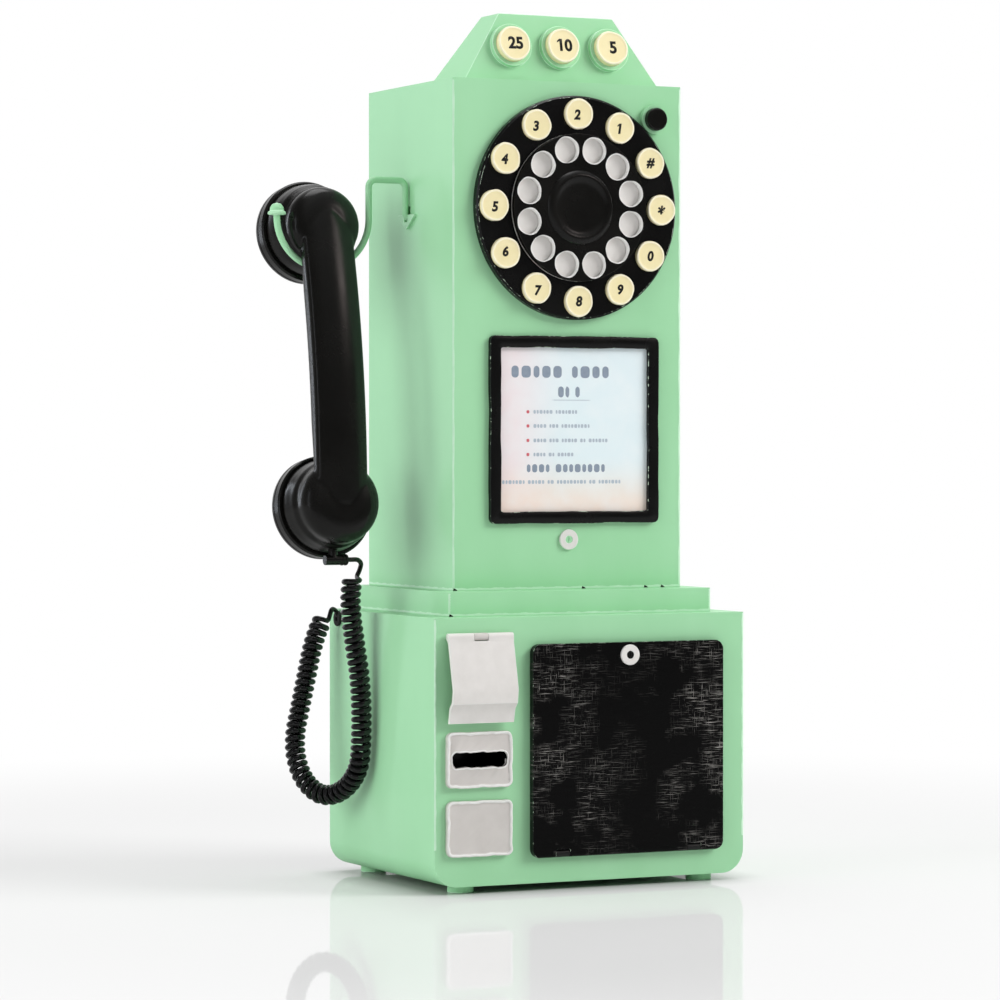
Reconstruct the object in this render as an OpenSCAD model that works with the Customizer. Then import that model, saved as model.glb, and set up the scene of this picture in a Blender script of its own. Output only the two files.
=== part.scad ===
// Wall telephone in the style of a coin phone: a stepped steel cabinet with a
// round keypad, a finger wheel, a coin vault and a handset on a wire fork.
// +Z is up, the front faces -Y and the handset hangs on the -X side.
// The origin is on the surface the feet stand on, under the middle of the base.

/* [Cabinet] */
// Thickness of the cabinet's sheet steel
sheet_t = 2; // [1.6:0.1:2.4]
// Width of the base housing
base_w = 186; // [182:1:196]
// Depth of the base housing
base_d = 137; // [133:1:145]
// Height of the base housing
base_h = 142; // [140:1:148]
// Radius of the base housing's two lower corners
base_corner_r = 13; // [8:0.5:14]
// Width of the step plinth
step_w = 158; // [152:1:166]
// Depth of the step plinth
step_d = 125; // [120:1:128]
// Height of the step plinth
step_h = 13; // [12:0.5:18]
// Width of the upper housing
upper_w = 138; // [136:1:144]
// Depth of the upper housing
upper_d = 109; // [104:1:114]
// Height of the upper housing
upper_h = 274; // [270:1:286]
// Gap between the back panel's edge and the housing around it
panel_gap = 0.3; // [0.2:0.05:0.5]
// How far the back panel's rear face lies inside the cabinet's rear edge
panel_inset = 2.5; // [2.2:0.1:4]
// Diameter of the four wall screw holes in the back panel
wall_hole_dia = 5; // [4:0.5:6]

/* [Crown] */
// Height of the crown hood
crown_h = 37; // [35:0.5:42]
// Width of the crown hood where it stands on the cabinet
crown_w = 117; // [112:1:124]
// Width of the crown hood's flat top
crown_top_w = 69; // [66:1:76]
// Depth of the crown hood where it stands on the cabinet
crown_d = 43.5; // [42:0.5:48]
// Depth of the crown hood's flat top
crown_top_d = 21.5; // [20:0.5:25]
// How far the hood's lower front edge stands behind the cabinet's front
crown_setback = 7; // [5:0.5:9]
// How far the hood's front leans back over its height
crown_lean = 8; // [6:0.5:9]
// Wall thickness of the cast hood
crown_wall = 2.5; // [2:0.1:3]

/* [Feet and screws] */
// Diameter of a foot
foot_dia = 14; // [10:0.5:16]
// Height of a foot
foot_h = 4; // [3:0.5:6]
// Distance of a foot's axis from the base housing's sides
foot_side_inset = 21; // [20:0.5:24]
// Distance of a foot's axis from the base housing's front and rear
foot_end_inset = 12.5; // [11:0.5:16]
// Diameter of a foot's stud
foot_stud_dia = 4; // [3:0.5:5]
// Thread diameter of the cabinet screws
screw_dia = 3; // [2.5:0.1:3.5]
// Length of a cabinet screw under its head
screw_len = 8; // [7:0.5:9]
// Diameter of a cabinet screw's head
screw_head_dia = 5.6; // [5:0.1:6]
// Height of a cabinet screw's head
screw_head_h = 1.9; // [1.5:0.1:2.1]

/* [Dial] */
// Distance of the dial's axis to the right of the cabinet's middle
dial_x = 3.5; // [0:0.5:4]
// Distance of the dial's axis below the top of the upper housing
dial_drop = 68; // [66:0.5:72]
// Diameter of the dial plate
dial_dia = 121; // [119:0.5:124]
// Thickness of the dial plate in front of the cabinet
dial_plate_t = 4.5; // [4:0.1:5.5]
// Width of the dial plate's edge outside its boss, which fills the hole in the cabinet
dial_edge = 4.5; // [4:0.1:6]
// Depth of the boss behind the cabinet's front face
dial_boss_t = 4.5; // [4:0.1:5.5]
// Distance between a key and the edge of the dial plate
key_edge_gap = 1.7; // [1.5:0.1:2.5]
// Diameter of a key
key_dia = 16.6; // [15.6:0.1:17.2]
// How far a key stands out of the dial plate
key_proud = 1.8; // [1.6:0.1:2.6]
// Travel of a key
key_travel = 1.5; // [1:0.1:1.8]
// Diameter of a key's stem
key_stem_dia = 6; // [5:0.5:7]
// Diameter of the clip that holds a key behind its guide
key_clip_dia = 8.4; // [8:0.1:9]
// Thickness of that clip
key_clip_t = 1.1; // [0.8:0.1:1.4]
// Height of a rubber dome of the key mat
dome_h = 2; // [1.9:0.1:2.4]
// Thickness of the key mat's sheet
mat_t = 1; // [0.8:0.1:1.4]
// Thickness of the keypad circuit board
board_t = 1.6; // [1.2:0.1:2]
// Distance between the finger wheel and a key
wheel_gap = 2.4; // [2:0.1:4]
// Thickness of the finger wheel
wheel_t = 3.2; // [2.8:0.1:4]
// Width of the web between two finger holes
finger_web = 2.5; // [2:0.1:4]
// Width of the rim outside the finger holes
finger_rim = 1; // [1:0.1:2]
// Thickness of the bright plate behind the finger wheel
finger_plate_t = 0.8; // [0.6:0.1:1.2]
// Diameter of the wheel's spindle
spindle_dia = 6; // [5:0.5:7]
// Distance between the hub and a finger hole
hub_gap = 4.8; // [3:0.1:6]
// Height of the hub's raised rim
hub_t = 1.8; // [1.4:0.1:2.6]
// Width of the hub's raised rim
hub_rim = 4.5; // [3.5:0.1:6]

/* [Card] */
// Width of the card frame
card_frame_w = 102.5; // [98:0.5:106]
// Height of the card frame
card_frame_h = 101.5; // [98:0.5:103]
// Width of the frame's border
card_border = 6.8; // [5:0.2:9]
// Thickness of the card frame
card_frame_t = 3; // [2.4:0.1:4]
// Height of the card frame's middle above the upper housing's foot
card_rise = 86.2; // [84:0.2:88]
// Thickness of the card
card_t = 0.5; // [0.3:0.1:1]

/* [Locks] */
// Diameter of a lock's bright collar
lock_collar_dia = 11; // [10:0.2:12]
// Thickness of a lock's collar
lock_collar_t = 1.5; // [1:0.1:2]
// Diameter of a lock's barrel
lock_barrel_dia = 8; // [7:0.2:9]
// Diameter of a lock's turning plug
lock_plug_dia = 4.2; // [4:0.1:5]
// Length of a lock's cam from the plug's axis
lock_cam_len = 9; // [8.5:0.1:10]
// Width of a lock's cam
lock_cam_w = 5; // [4.6:0.1:5.6]
// Height of the upper lock above the upper housing's foot
upper_lock_rise = 26.8; // [25:0.2:30]

/* [Coin buttons] */
// Diameter of a coin button
coin_dia = 18.9; // [17:0.1:19.5]
// Diameter of the boss around a coin button
coin_boss_dia = 23.5; // [23:0.1:25]
// Height of that boss
coin_boss_t = 3; // [2:0.1:3.6]
// Travel of a coin button
coin_travel = 2.5; // [1.5:0.1:2.8]
// Distance between the coin buttons
coin_pitch = 29.6; // [28:0.2:31]
// Height of the coin buttons' row above the hood's foot
coin_rise = 19; // [18:0.5:19.5]

/* [Release button] */
// Diameter of the release button
release_dia = 12.4; // [11:0.1:13]
// Diameter of the boss around the release button
release_boss_dia = 16; // [15.6:0.1:18]
// Height of that boss
release_boss_t = 2.4; // [1.6:0.1:3]
// Travel of the release button
release_travel = 3; // [2:0.1:3.2]
// Distance between the release button's boss and the dial plate
release_gap = 0.8; // [0.6:0.1:3]
// Direction of the release button from the dial's axis
release_angle = 45.6; // [44:0.2:48]
// Outer diameter of a return spring
spring_dia = 8; // [7:0.2:9]
// Free space that a return spring fills
spring_len = 8; // [7:0.5:9]

/* [Coin return and plates] */
// Distance of the left column of parts from the cabinet's middle
column_x = 67.5; // [66:0.5:68]
// Width of the coin return flap
flap_w = 38; // [36:0.5:39]
// Height of the coin return flap below its hinge axis
flap_drop = 45.5; // [44:0.5:47]
// How far the flap's crease stands out of the base housing
flap_bulge = 10; // [8:0.5:11]
// Thickness of the flap's sheet
flap_t = 1.5; // [1.2:0.1:1.8]
// Distance of the flap's hinge axis below the top of the base housing
flap_axis_drop = 10; // [9:0.5:11]
// Depth of the coin return cup
cup_d = 28; // [24:1:34]
// Width of the coin slot plate and of the blank plate
plate_w = 38.8; // [38:0.2:40]
// Height of the coin slot plate and of the blank plate
plate_h = 30; // [29:0.5:31]
// Thickness of those plates
plate_t = 2; // [1.5:0.1:3]
// Corner radius of those plates
plate_corner_r = 2.5; // [1:0.1:4]
// Width of the rim that stands up around each plate
plate_rim_w = 2; // [1.4:0.1:3]
// Height of that rim
plate_rim_h = 0.8; // [0.5:0.1:1.4]
// Width of the coin slot
slot_w = 32.6; // [31:0.2:33]
// Height of the coin slot
slot_h = 8.4; // [6:0.2:9]
// Distance between the flap and the slot plate
slot_plate_gap = 4.5; // [3.5:0.1:6]
// Distance between the slot plate and the blank plate
blank_plate_gap = 6.3; // [5:0.1:7]

/* [Vault] */
// Width of the vault door
door_w = 115.4; // [113:0.2:118]
// Distance of the vault door below the top of the base
door_top_gap = 14.7; // [13.5:0.1:18]
// Thickness of the vault door
door_t = 4; // [3.6:0.1:4.6]
// Corner radius of the vault door
door_corner_r = 5; // [3:0.5:8]
// Distance of the vault door's middle from the cabinet's middle
door_x = 20.5; // [20:0.5:22]
// Height of the vault door's lower edge above the base housing's floor
door_rise = 13.5; // [13:0.5:16]
// How far the vault door laps over its opening at each side
door_lap = 7; // [5:0.5:9]
// Gap between a door or flap and the base housing's front
door_gap = 0.3; // [0.25:0.05:0.5]
// Diameter of the hinge pins
pin_dia = 2; // [1.8:0.05:2.2]
// Length of a hinge pin
pin_len = 24; // [20:0.5:26]
// Width of a hinge knuckle
knuckle_w = 8; // [7:0.5:9]
// Gap between the coin box and the chute above it
box_gap = 4.1; // [3:0.1:8]
// Depth of the coin box
box_d = 104; // [90:1:108]

/* [Hook] */
// Diameter of the fork's wire
wire_dia = 3.6; // [3.2:0.1:3.8]
// Centreline radius of the fork's cradle
fork_r = 27; // [26.5:0.1:27.5]
// Distance of the fork's middle from the cabinet's side
fork_out = 51; // [50:0.5:54]
// Height of the cradle's centre above the upper housing's foot
fork_rise = 200.5; // [198:0.5:203]
// Height of the fork's top run above the cradle's centre
fork_top = 21.5; // [18:0.5:24]
// Height above the cradle's centre at which the wire enters the cabinet
fork_entry = 1.1; // [0.5:0.1:3]
// Distance of the fork's plane in front of the cabinet's rear edge
fork_y = 53.1; // [51:0.1:55]
// Travel of the fork
hook_travel = 3; // [2:0.1:3.4]
// Gap between the wire and the cabinet's side
wire_gap = 0.4; // [0.3:0.05:0.8]

/* [Handset] */
// Distance between the handset's two cap axes
handset_len = 151; // [146:0.5:155]
// Lean of the hanging handset, bottom end forward
handset_lean = 8.4; // [7.6:0.1:9]
// Diameter of the two caps
cap_dia = 55.4; // [53:0.2:57]
// Depth of a cap
cap_t = 11.4; // [11:0.1:12.4]
// Diameter of the bell behind a cap
bell_dia = 51; // [50:0.5:52]
// Diameter of the bell's narrow ring
ring_dia = 46.4; // [45:0.2:47]
// Distance of the bell's narrow ring from the cap's face
ring_out = 24.2; // [24:0.1:24.6]
// Depth of the neck in front of the ring
neck_t = 9; // [8:0.5:10]
// Diameter of the fuller dome at the mouth end
mouth_dome_dia = 45; // [42:0.5:46]
// Diameter of the neck that lies in the fork
neck_dia = 41.4; // [40:0.1:41.6]
// Width of the handle
handle_w = 29.5; // [27:0.5:31]
// Thickness of the handle
handle_t = 13; // [12:0.5:13.5]
// Distance of the handle's front from the cap faces at its ends
handle_out = 39; // [38.5:0.1:41]
// How much further the handle's front stands out in its middle
handle_bow = 6; // [4:0.5:8]
// How far the handle runs past the ear cap's axis
handle_over_top = 6.5; // [5:0.5:9]
// How far the handle runs past the mouth cap's axis
handle_over_end = 2; // [1:0.5:5]
// Height of the ear cap's axis above the upper housing's foot
ear_rise = 192.5; // [190:0.1:194.5]
/* [Cord] */
// Diameter of the cord's wire
cord_dia = 2.6; // [2.4:0.1:2.8]
// Centreline radius of a curl
curl_r = 4.4; // [4:0.1:4.6]
// Number of curls
curls = 56; // [48:1:56]

/* [Hidden] */

$fn = 48;
// Overshoot of a cutting solid past the face it cuts
cut = 1;
// Radial clearance of parts that slide or turn in each other
run_gap = 0.08;
// Radial clearance of hinge pins and plugs
pin_gap = 0.05;
// Clearance between pieces that are fixed close together
fix_gap = 0.2;

// Levels and faces of the cabinet
back_y = base_d / 2;
base_front = -base_d / 2;
step_front = back_y - step_d;
upper_front = back_y - upper_d;
base_top = foot_h + base_h;
step_top = base_top + step_h;
upper_top = step_top + upper_h;
side_x = upper_w / 2;
floor_z = foot_h + sheet_t;

// The opening that runs up through the levels, and the flanges beside it
riser_w = upper_w - 28;
riser_front = upper_front + 12;
flange_x = riser_w / 2 + (side_x - sheet_t - riser_w / 2) / 2;
flange_y = [upper_front + 24, back_y - 26];

// The back panel and the tabs that carry it
panel_y = back_y - panel_inset;
tab_y = panel_y - sheet_t;
tab_w = 12;
tab_base_z = [floor_z + 22, base_top - sheet_t - 14];
tab_upper_z = [step_top + 50, upper_top - sheet_t - 14];
wall_hole_x = 40;
wall_hole_z = [foot_h + 26, upper_top - 33];

// The dial, measured outward from the upper housing's front
dial_z = upper_top - dial_drop;
dial_boss_dia = dial_dia - 2 * dial_edge;
key_circle_dia = dial_dia - key_dia - 2 * key_edge_gap;
wheel_dia = key_circle_dia - key_dia - 2 * wheel_gap;
finger_circle_dia = (wheel_dia - 2 * finger_rim + finger_web) / (1 + sin(15));
finger_hole_dia = finger_circle_dia * sin(15) - finger_web;
hub_dia = finger_circle_dia - finger_hole_dia - 2 * hub_gap;
hub_dish_dia = hub_dia - 2 * hub_rim;
key_r = key_dia / 2;
key_floor = fix_gap;
key_head_bottom = key_floor + key_travel + fix_gap;
key_clip_top = -dial_boss_t - 0.1;
dome_top = key_clip_top - key_clip_t - 0.1;
mat_top = dome_top - dome_h;
board_top = mat_top - mat_t;
post_circle_r = 28;
post_r = 4;
post_angles = [90, 210, 330];
dial_screw_angles = [45, 135, 225, 315];
dial_screw_dia = 1.6;
dial_screw_len = 4.6;
dial_screw_head_dia = 3;
dial_screw_head_h = 1.1;
dial_screw_r = (dial_boss_dia + dial_dia) / 4;
board_screw_dia = 1.6;
wheel_bottom = dial_plate_t + 0.3;
wheel_top = wheel_bottom + wheel_t;
spindle_head_dia = 10;
spindle_head_t = 1;
wheel_web = wheel_t - spindle_head_t - 0.5;

// The card, in the middle of its frame
card_x = 3.25;
card_z = step_top + card_rise;
card_gap = 0.75;

// Locks, measured outward from the face that carries the collar
lock_cam_t = 1.5;
lock_slot_w = 0.6;
lock_slot_l = 2.6;
lock_slot_t = 1.2;
upper_lock_z = step_top + upper_lock_rise;
upper_barrel_len = 12;

// Coin buttons, measured outward along the hood's leaning front
crown_front = upper_front + crown_setback;
crown_tilt = atan(crown_lean / crown_h);
coin_z = upper_top + coin_rise;
coin_y = crown_front + crown_lean * coin_rise / crown_h;
coin_proud = coin_travel + 0.5;
release_proud = release_travel + 0.4;
button_flange = 1.1;
button_flange_t = 1.4;
button_tail = 1.2;
seat_t = 1.6;
crown_post_x = crown_w / 2 - 11.5;
crown_post_y = crown_front + 21;
crown_post_r = 4;
crown_post_h = 14;
release_reach = (dial_dia + release_boss_dia) / 2 + release_gap;
release_x = dial_x + release_reach * cos(release_angle);
release_z = dial_z + release_reach * sin(release_angle);

// Hinges of the flap and the vault door
hinge_r = door_t / 2;
hinge_y = base_front - door_gap - hinge_r;
knuckle_gap = 0.2;
flap_axis_z = base_top - flap_axis_drop;
flap_front = hinge_r;
flap_band = 2.8;
return_open_w = flap_w - 12;
return_open_top = flap_axis_z - hinge_r - 2.6;
return_open_h = flap_drop - 8;
cup_wall = 1.2;
door_bottom = foot_h + door_rise;
door_h = base_h - door_rise - door_top_gap;
door_top = door_bottom + door_h;
door_axis_z = door_bottom + hinge_r;
door_knuckle_x = [door_x - door_w / 2 + 18, door_x + door_w / 2 - 18];
vault_open_w = door_w - 2 * door_lap;
vault_open_top = door_top - 2;
vault_open_bottom = door_bottom + door_lap;
door_lock_z = door_top - 6.8;
door_barrel_len = door_t + door_gap + sheet_t + 0.1;
slot_z = flap_axis_z - flap_drop - slot_plate_gap - plate_h / 2;
blank_z = slot_z - plate_h - blank_plate_gap;
rail_z = vault_open_bottom + 1;
rail_x = [door_x - 40, door_x + 40];
box_w = vault_open_w - 3;
box_front = base_front + sheet_t + 4;
box_wall = 1.6;
chute_end_x = door_x - box_w / 2 + 8;
chute_h = 15;
chute_d = 26;
chute_wall = 1.2;
chute_left = -column_x - slot_w / 2 - chute_wall;
chute_fall = 3;
box_h = slot_z - slot_h / 2 - chute_wall - chute_fall - box_gap - rail_z;

// The hook
fork_x = -side_x - fork_out;
fork_plane = back_y - fork_y;
fork_z = step_top + fork_rise;
leg_x = -side_x - wire_gap - wire_dia / 2;
entry_z = fork_z + fork_entry;
entry_bend_r = 3;
top_bend_r = 4;
tip_dia = 10;
tip_h = 6.6;
switch_w = 14;
switch_d = 16;
switch_h = 12;
lug_w = 20;
lug_h = 8;
lug_t = 2;

// The handset's own frame starts at the middle of the ear cap's face
ear_z = step_top + ear_rise;
ear_y = fork_plane + 30.1;
neck_r = neck_dia / 2;
cap_r = cap_dia / 2;
spigot_r = cap_r - 4.5;
cap_floor = 2.6;
capsule_r = spigot_r - 3;
cavity_end = 19.5;
capsule_t = 9.6;
handle_half = (handset_len + handle_over_top + handle_over_end) / 2;
handle_middle = handle_over_top - handle_half;
handle_r = (handle_half ^ 2 + handle_bow ^ 2) / (2 * handle_bow);
handle_half_angle = asin(handle_half / handle_r);
handle_corner_r = 9;
groove_end = ring_out + 6.6;
boot_out = 17.3;
boot_drop = 5.26;
boot_r = 2.8;
boot_z = -handset_len - bell_dia / 2 - boot_drop + 1;
grip_hole_r = 1;

// The ringer
gong_r = 24;
gong_d = 12;
gong_t = 1.5;
gong_x = 30;
ringer_rise = 56;
ringer_z = step_top + ringer_rise;
ringer_post_l = 6;
ringer_plate_y = tab_y - ringer_post_l;
gong_reach = 16;
gong_y = ringer_plate_y - gong_reach;
clapper_arm = 35;
clapper_ball_r = 2.5;
jack_x = 40;
jack_rise = 66;
jack_z = floor_z + jack_rise;
jack_w = 14;
jack_h = 12;
jack_d = 15;

// The cord: where it leaves the boot, hangs down and climbs to the grommet
cord_route = [
    [-116, 2, 175.2], [-110, 2, 175.2], [-104.5, 2, 175], [-100.5, 2, 171.5], [-100.5, 2.5, 166.5],
    [-103, 3, 162], [-106, 4, 156.5], [-107.5, 5, 150.5], [-107.5, 5.5, 144], [-105.5, 6, 134],
    [-102.5, 6, 115], [-101.5, 6.5, 95], [-101, 8, 76], [-101, 11.5, 62.5], [-103, 19.5, 52.5],
    [-107.5, 29, 46.5], [-113, 38, 46.5], [-118, 46, 53.5], [-120.5, 51.5, 65], [-120, 54, 78],
    [-117, 54.5, 92], [-112.5, 55, 110], [-108.5, 55, 125], [-105.5, 55.5, 135], [-103, 56, 141],
    [-99.5, 56, 143.5], [-96, 56, 141.2], [-93.5, 56, 141], [-90, 56, 141], [-86, 56, 141]
];
grommet_y = 56;
grommet_z = 141;
grommet_hole_r = 2.3;
coil_start = 18;
coil_end_room = 20;
coil_ramp = 7;
cord_sides = 6;
curl_rings = 8;
lead_step = 2;
plane_ref = [0.93, 0.36, 0];

// ---------- shared shapes ----------

// Turns a shape that is built upward so that it points out of the front
module facing_front(x, y, z) {
    translate([x, y, z]) rotate([90, 0, 0]) children();
}

// A cylinder along X, from x = 0
module bar_x(r, l) {
    rotate([0, 90, 0]) cylinder(r = r, h = l);
}

// A flat plate with round corners, centred, built upward
module round_plate(w, h, r, t) {
    linear_extrude(t) round_outline(w, h, r);
}

module round_outline(w, h, r) {
    square([w - 2 * r, h], center = true);
    square([w, h - 2 * r], center = true);
    for (sx = [-1, 1], sy = [-1, 1]) translate([sx * (w / 2 - r), sy * (h / 2 - r)]) circle(r = r);
}

// The base housing's outline in the XZ plane, with round lower corners
module base_outline(w, h, r) {
    translate([-w / 2, r]) square([w, h - r]);
    translate([-w / 2 + r, 0]) square([w - 2 * r, r + cut / 10]);
    for (side = [-1, 1]) translate([side * (w / 2 - r), r]) circle(r = r);
}

// A box from its left side, front and floor to its right side, back and top
module box_between(a, b) {
    translate(a) cube(b - a);
}

// A screw with its head upward and its thread down to -screw_len
module cabinet_screw() {
    cylinder(d = screw_head_dia, h = screw_head_h);
    translate([0, 0, -screw_len]) cylinder(d = screw_dia, h = screw_len);
}

module tab_screw_places() {
    for (side = [-1, 1], z = tab_base_z) translate([side * (base_w / 2 - sheet_t - tab_w / 2), 0, z])
        children();
    for (side = [-1, 1], z = tab_upper_z) translate([side * (side_x - sheet_t - tab_w / 2), 0, z])
        children();
}

module tabs(half_w, heights) {
    for (side = [-1, 1], z = heights)
        translate([side * (half_w - sheet_t - tab_w / 2), tab_y - sheet_t / 2, z])
            difference() {
                cube([tab_w, sheet_t, tab_w], center = true);
                rotate([90, 0, 0]) cylinder(d = screw_dia, h = sheet_t + cut, center = true);
            }
}

module flange_screw_places() {
    for (side = [-1, 1], y = flange_y) translate([side * flange_x, y, 0]) children();
}

module crown_screw_places() {
    for (side = [-1, 1]) translate([side * crown_post_x, crown_post_y, 0]) children();
}

module foot_places() {
    for (sx = [-1, 1], sy = [-1, 1])
        translate([sx * (base_w / 2 - foot_side_inset), sy * (base_d / 2 - foot_end_inset), 0]) children();
}

// ---------- cabinet ----------

module feet() {
    color("#8fc79b") foot_places() {
        cylinder(d = foot_dia, h = foot_h);
        cylinder(d = foot_stud_dia, h = foot_h + sheet_t + 3);
    }
}

module base_housing() {
    color("#9bdba6") {
        difference() {
            translate([0, back_y, foot_h]) rotate([90, 0, 0])
                linear_extrude(base_d) base_outline(base_w, base_h, base_corner_r);
            translate([0, back_y + cut, floor_z]) rotate([90, 0, 0]) linear_extrude(base_d - sheet_t + cut)
                base_outline(base_w - 2 * sheet_t, base_h - 2 * sheet_t, base_corner_r - sheet_t);
            box_between([-riser_w / 2, riser_front, base_top - sheet_t - cut],
                [riser_w / 2, back_y + cut, base_top + cut]);
            flange_screw_places() translate([0, 0, base_top])
                cylinder(d = screw_dia, h = 3 * sheet_t, center = true);
            foot_places() cylinder(d = foot_stud_dia, h = floor_z + cut);
            coin_return_opening();
            facing_front(-column_x, base_front, slot_z) cube([slot_w, slot_h, 3 * sheet_t], center = true);
            box_between([door_x - vault_open_w / 2, base_front - cut, vault_open_bottom],
                        [door_x + vault_open_w / 2, base_front + sheet_t + cut, vault_open_top]);
            translate([-base_w / 2 - cut, grommet_y, grommet_z]) bar_x(grommet_hole_r, sheet_t + 2 * cut);
        }
        tabs(base_w / 2, tab_base_z);
        for (x = rail_x)
            box_between([x - sheet_t / 2, box_front, floor_z],
                [x + sheet_t / 2, box_front + box_d, rail_z]);
    }
}

module coin_return_opening() {
    box_between([-column_x - return_open_w / 2, base_front - cut, return_open_top - return_open_h],
                [-column_x + return_open_w / 2, base_front + sheet_t + cut, return_open_top]);
}

module step_plinth() {
    color("#9bdba6") difference() {
        box_between([-step_w / 2, step_front, base_top], [step_w / 2, back_y, step_top]);
        box_between([-step_w / 2 + sheet_t, step_front + sheet_t, base_top + sheet_t],
                    [step_w / 2 - sheet_t, back_y + cut, step_top - sheet_t]);
        box_between([-riser_w / 2, riser_front, base_top - cut],
            [riser_w / 2, back_y + cut, step_top + cut]);
        flange_screw_places() translate([0, 0, base_top - cut])
            cylinder(d = screw_dia, h = step_h + 2 * cut);
    }
}

module upper_housing() {
    color("#9bdba6") {
        difference() {
            union() {
                box_between([-side_x, upper_front, step_top], [side_x, back_y, upper_top]);
                facing_front(release_x, upper_front, release_z)
                    cylinder(d = release_boss_dia, h = release_boss_t);
            }
            box_between([-side_x + sheet_t, upper_front + sheet_t, step_top + sheet_t],
                        [side_x - sheet_t, back_y + cut, upper_top - sheet_t]);
            box_between([-riser_w / 2, riser_front, step_top - cut],
                [riser_w / 2, back_y + cut, step_top + sheet_t + cut]);
            flange_screw_places() translate([0, 0, step_top])
                cylinder(d = screw_dia, h = 3 * sheet_t, center = true);
            facing_front(dial_x, upper_front, dial_z) {
                cylinder(d = dial_boss_dia + 2 * fix_gap, h = 3 * sheet_t, center = true);
                dial_screw_places() cylinder(d = dial_screw_dia, h = 3 * sheet_t, center = true);
            }
            facing_front(release_x, upper_front, release_z)
                cylinder(d = release_dia + 2 * run_gap, h = 2 * release_boss_t + 2 * sheet_t + cut,
                    center = true);
            facing_front(0, upper_front, upper_lock_z)
                cylinder(d = lock_barrel_dia, h = 3 * sheet_t, center = true);
            box_between([-crown_w / 2 + 22, crown_front + 7, upper_top - sheet_t - cut],
                        [crown_w / 2 - 22, crown_front + crown_d - 8, upper_top + cut]);
            crown_screw_places() translate([0, 0, upper_top])
                cylinder(d = screw_dia, h = 3 * sheet_t, center = true);
            hook_slot();
        }
        tabs(side_x, tab_upper_z);
        release_seat();
    }
}

// Where the fork's wire comes through the side and moves up and down
module hook_slot() {
    half = wire_dia / 2 + fix_gap;
    box_between([-side_x - cut, fork_plane - half, entry_z - half],
                [-side_x + sheet_t + cut, fork_plane + half,
                    entry_z + half + hook_travel + entry_bend_r / 2]);
}

// The bent strip that the release button's spring pushes against
module release_seat() {
    seat_back = upper_front + sheet_t + button_flange_t + button_tail + spring_len + 0.1;
    box_between([release_x - spring_dia / 2, seat_back, release_z - spring_dia / 2],
                [release_x + spring_dia / 2, seat_back + seat_t, upper_top - sheet_t]);
}

// The hood between two heights above its foot, drawn in by a wall thickness
module crown_block(low, high, wall) {
    slope_x = (crown_w - crown_top_w) / 2 / crown_h;
    slope_front = crown_lean / crown_h;
    slope_back = (crown_d - crown_lean - crown_top_d) / crown_h;
    in_x = wall * sqrt(1 + slope_x ^ 2);
    in_front = wall * sqrt(1 + slope_front ^ 2);
    in_back = wall * sqrt(1 + slope_back ^ 2);
    x_at = function(z) crown_w / 2 - slope_x * z - in_x;
    front_at = function(z) crown_front + slope_front * z + in_front;
    back_at = function(z) crown_front + crown_d - slope_back * z - in_back;
    translate([0, 0, upper_top]) intersection() {
        translate([0, crown_front + crown_d + cut, 0]) rotate([90, 0, 0]) linear_extrude(crown_d + 2 * cut)
            polygon([[-x_at(low), low], [x_at(low), low], [x_at(high), high], [-x_at(high), high]]);
        translate([-crown_w / 2, 0, 0]) rotate([90, 0, 90]) linear_extrude(crown_w)
            polygon([[front_at(low), low], [back_at(low), low], [back_at(high), high],
                [front_at(high), high]]);
    }
}

// Points a shape out of the hood's leaning front at a coin button
module facing_coin(n) {
    translate([(n - 1) * coin_pitch, coin_y, coin_z]) rotate([90 - crown_tilt, 0, 0]) children();
}

module crown_hood() {
    color("#9bdba6") {
        difference() {
            union() {
                difference() {
                    crown_block(0, crown_h, 0);
                    crown_block(-cut, crown_h - crown_wall, crown_wall);
                }
                for (n = [0:2]) facing_coin(n) translate([0, 0, -crown_wall / 2])
                    cylinder(d = coin_boss_dia, h = coin_boss_t + crown_wall / 2);
                intersection() {
                    crown_screw_places() translate([0, 0, upper_top])
                        cylinder(r = crown_post_r, h = crown_post_h);
                    crown_block(0, crown_h, crown_wall / 2);
                }
            }
            for (n = [0:2]) facing_coin(n)
                cylinder(d = coin_dia + 2 * run_gap, h = 2 * coin_boss_t + 2 * crown_wall + cut,
                    center = true);
            crown_screw_places() translate([0, 0, upper_top - cut])
                cylinder(d = screw_dia, h = crown_post_h - 1);
        }
        coin_seat();
    }
}

// The strip inside the hood that the coin buttons' springs push against
module coin_seat() {
    depth = crown_wall + button_flange_t + button_tail + spring_len + 0.1;
    half_h = spring_dia / 2;
    intersection() {
        facing_coin(1) translate([-crown_w / 2, -half_h, -depth - seat_t])
            cube([crown_w, 2 * half_h, seat_t]);
        crown_block(0, crown_h, crown_wall / 2);
    }
}

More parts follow.
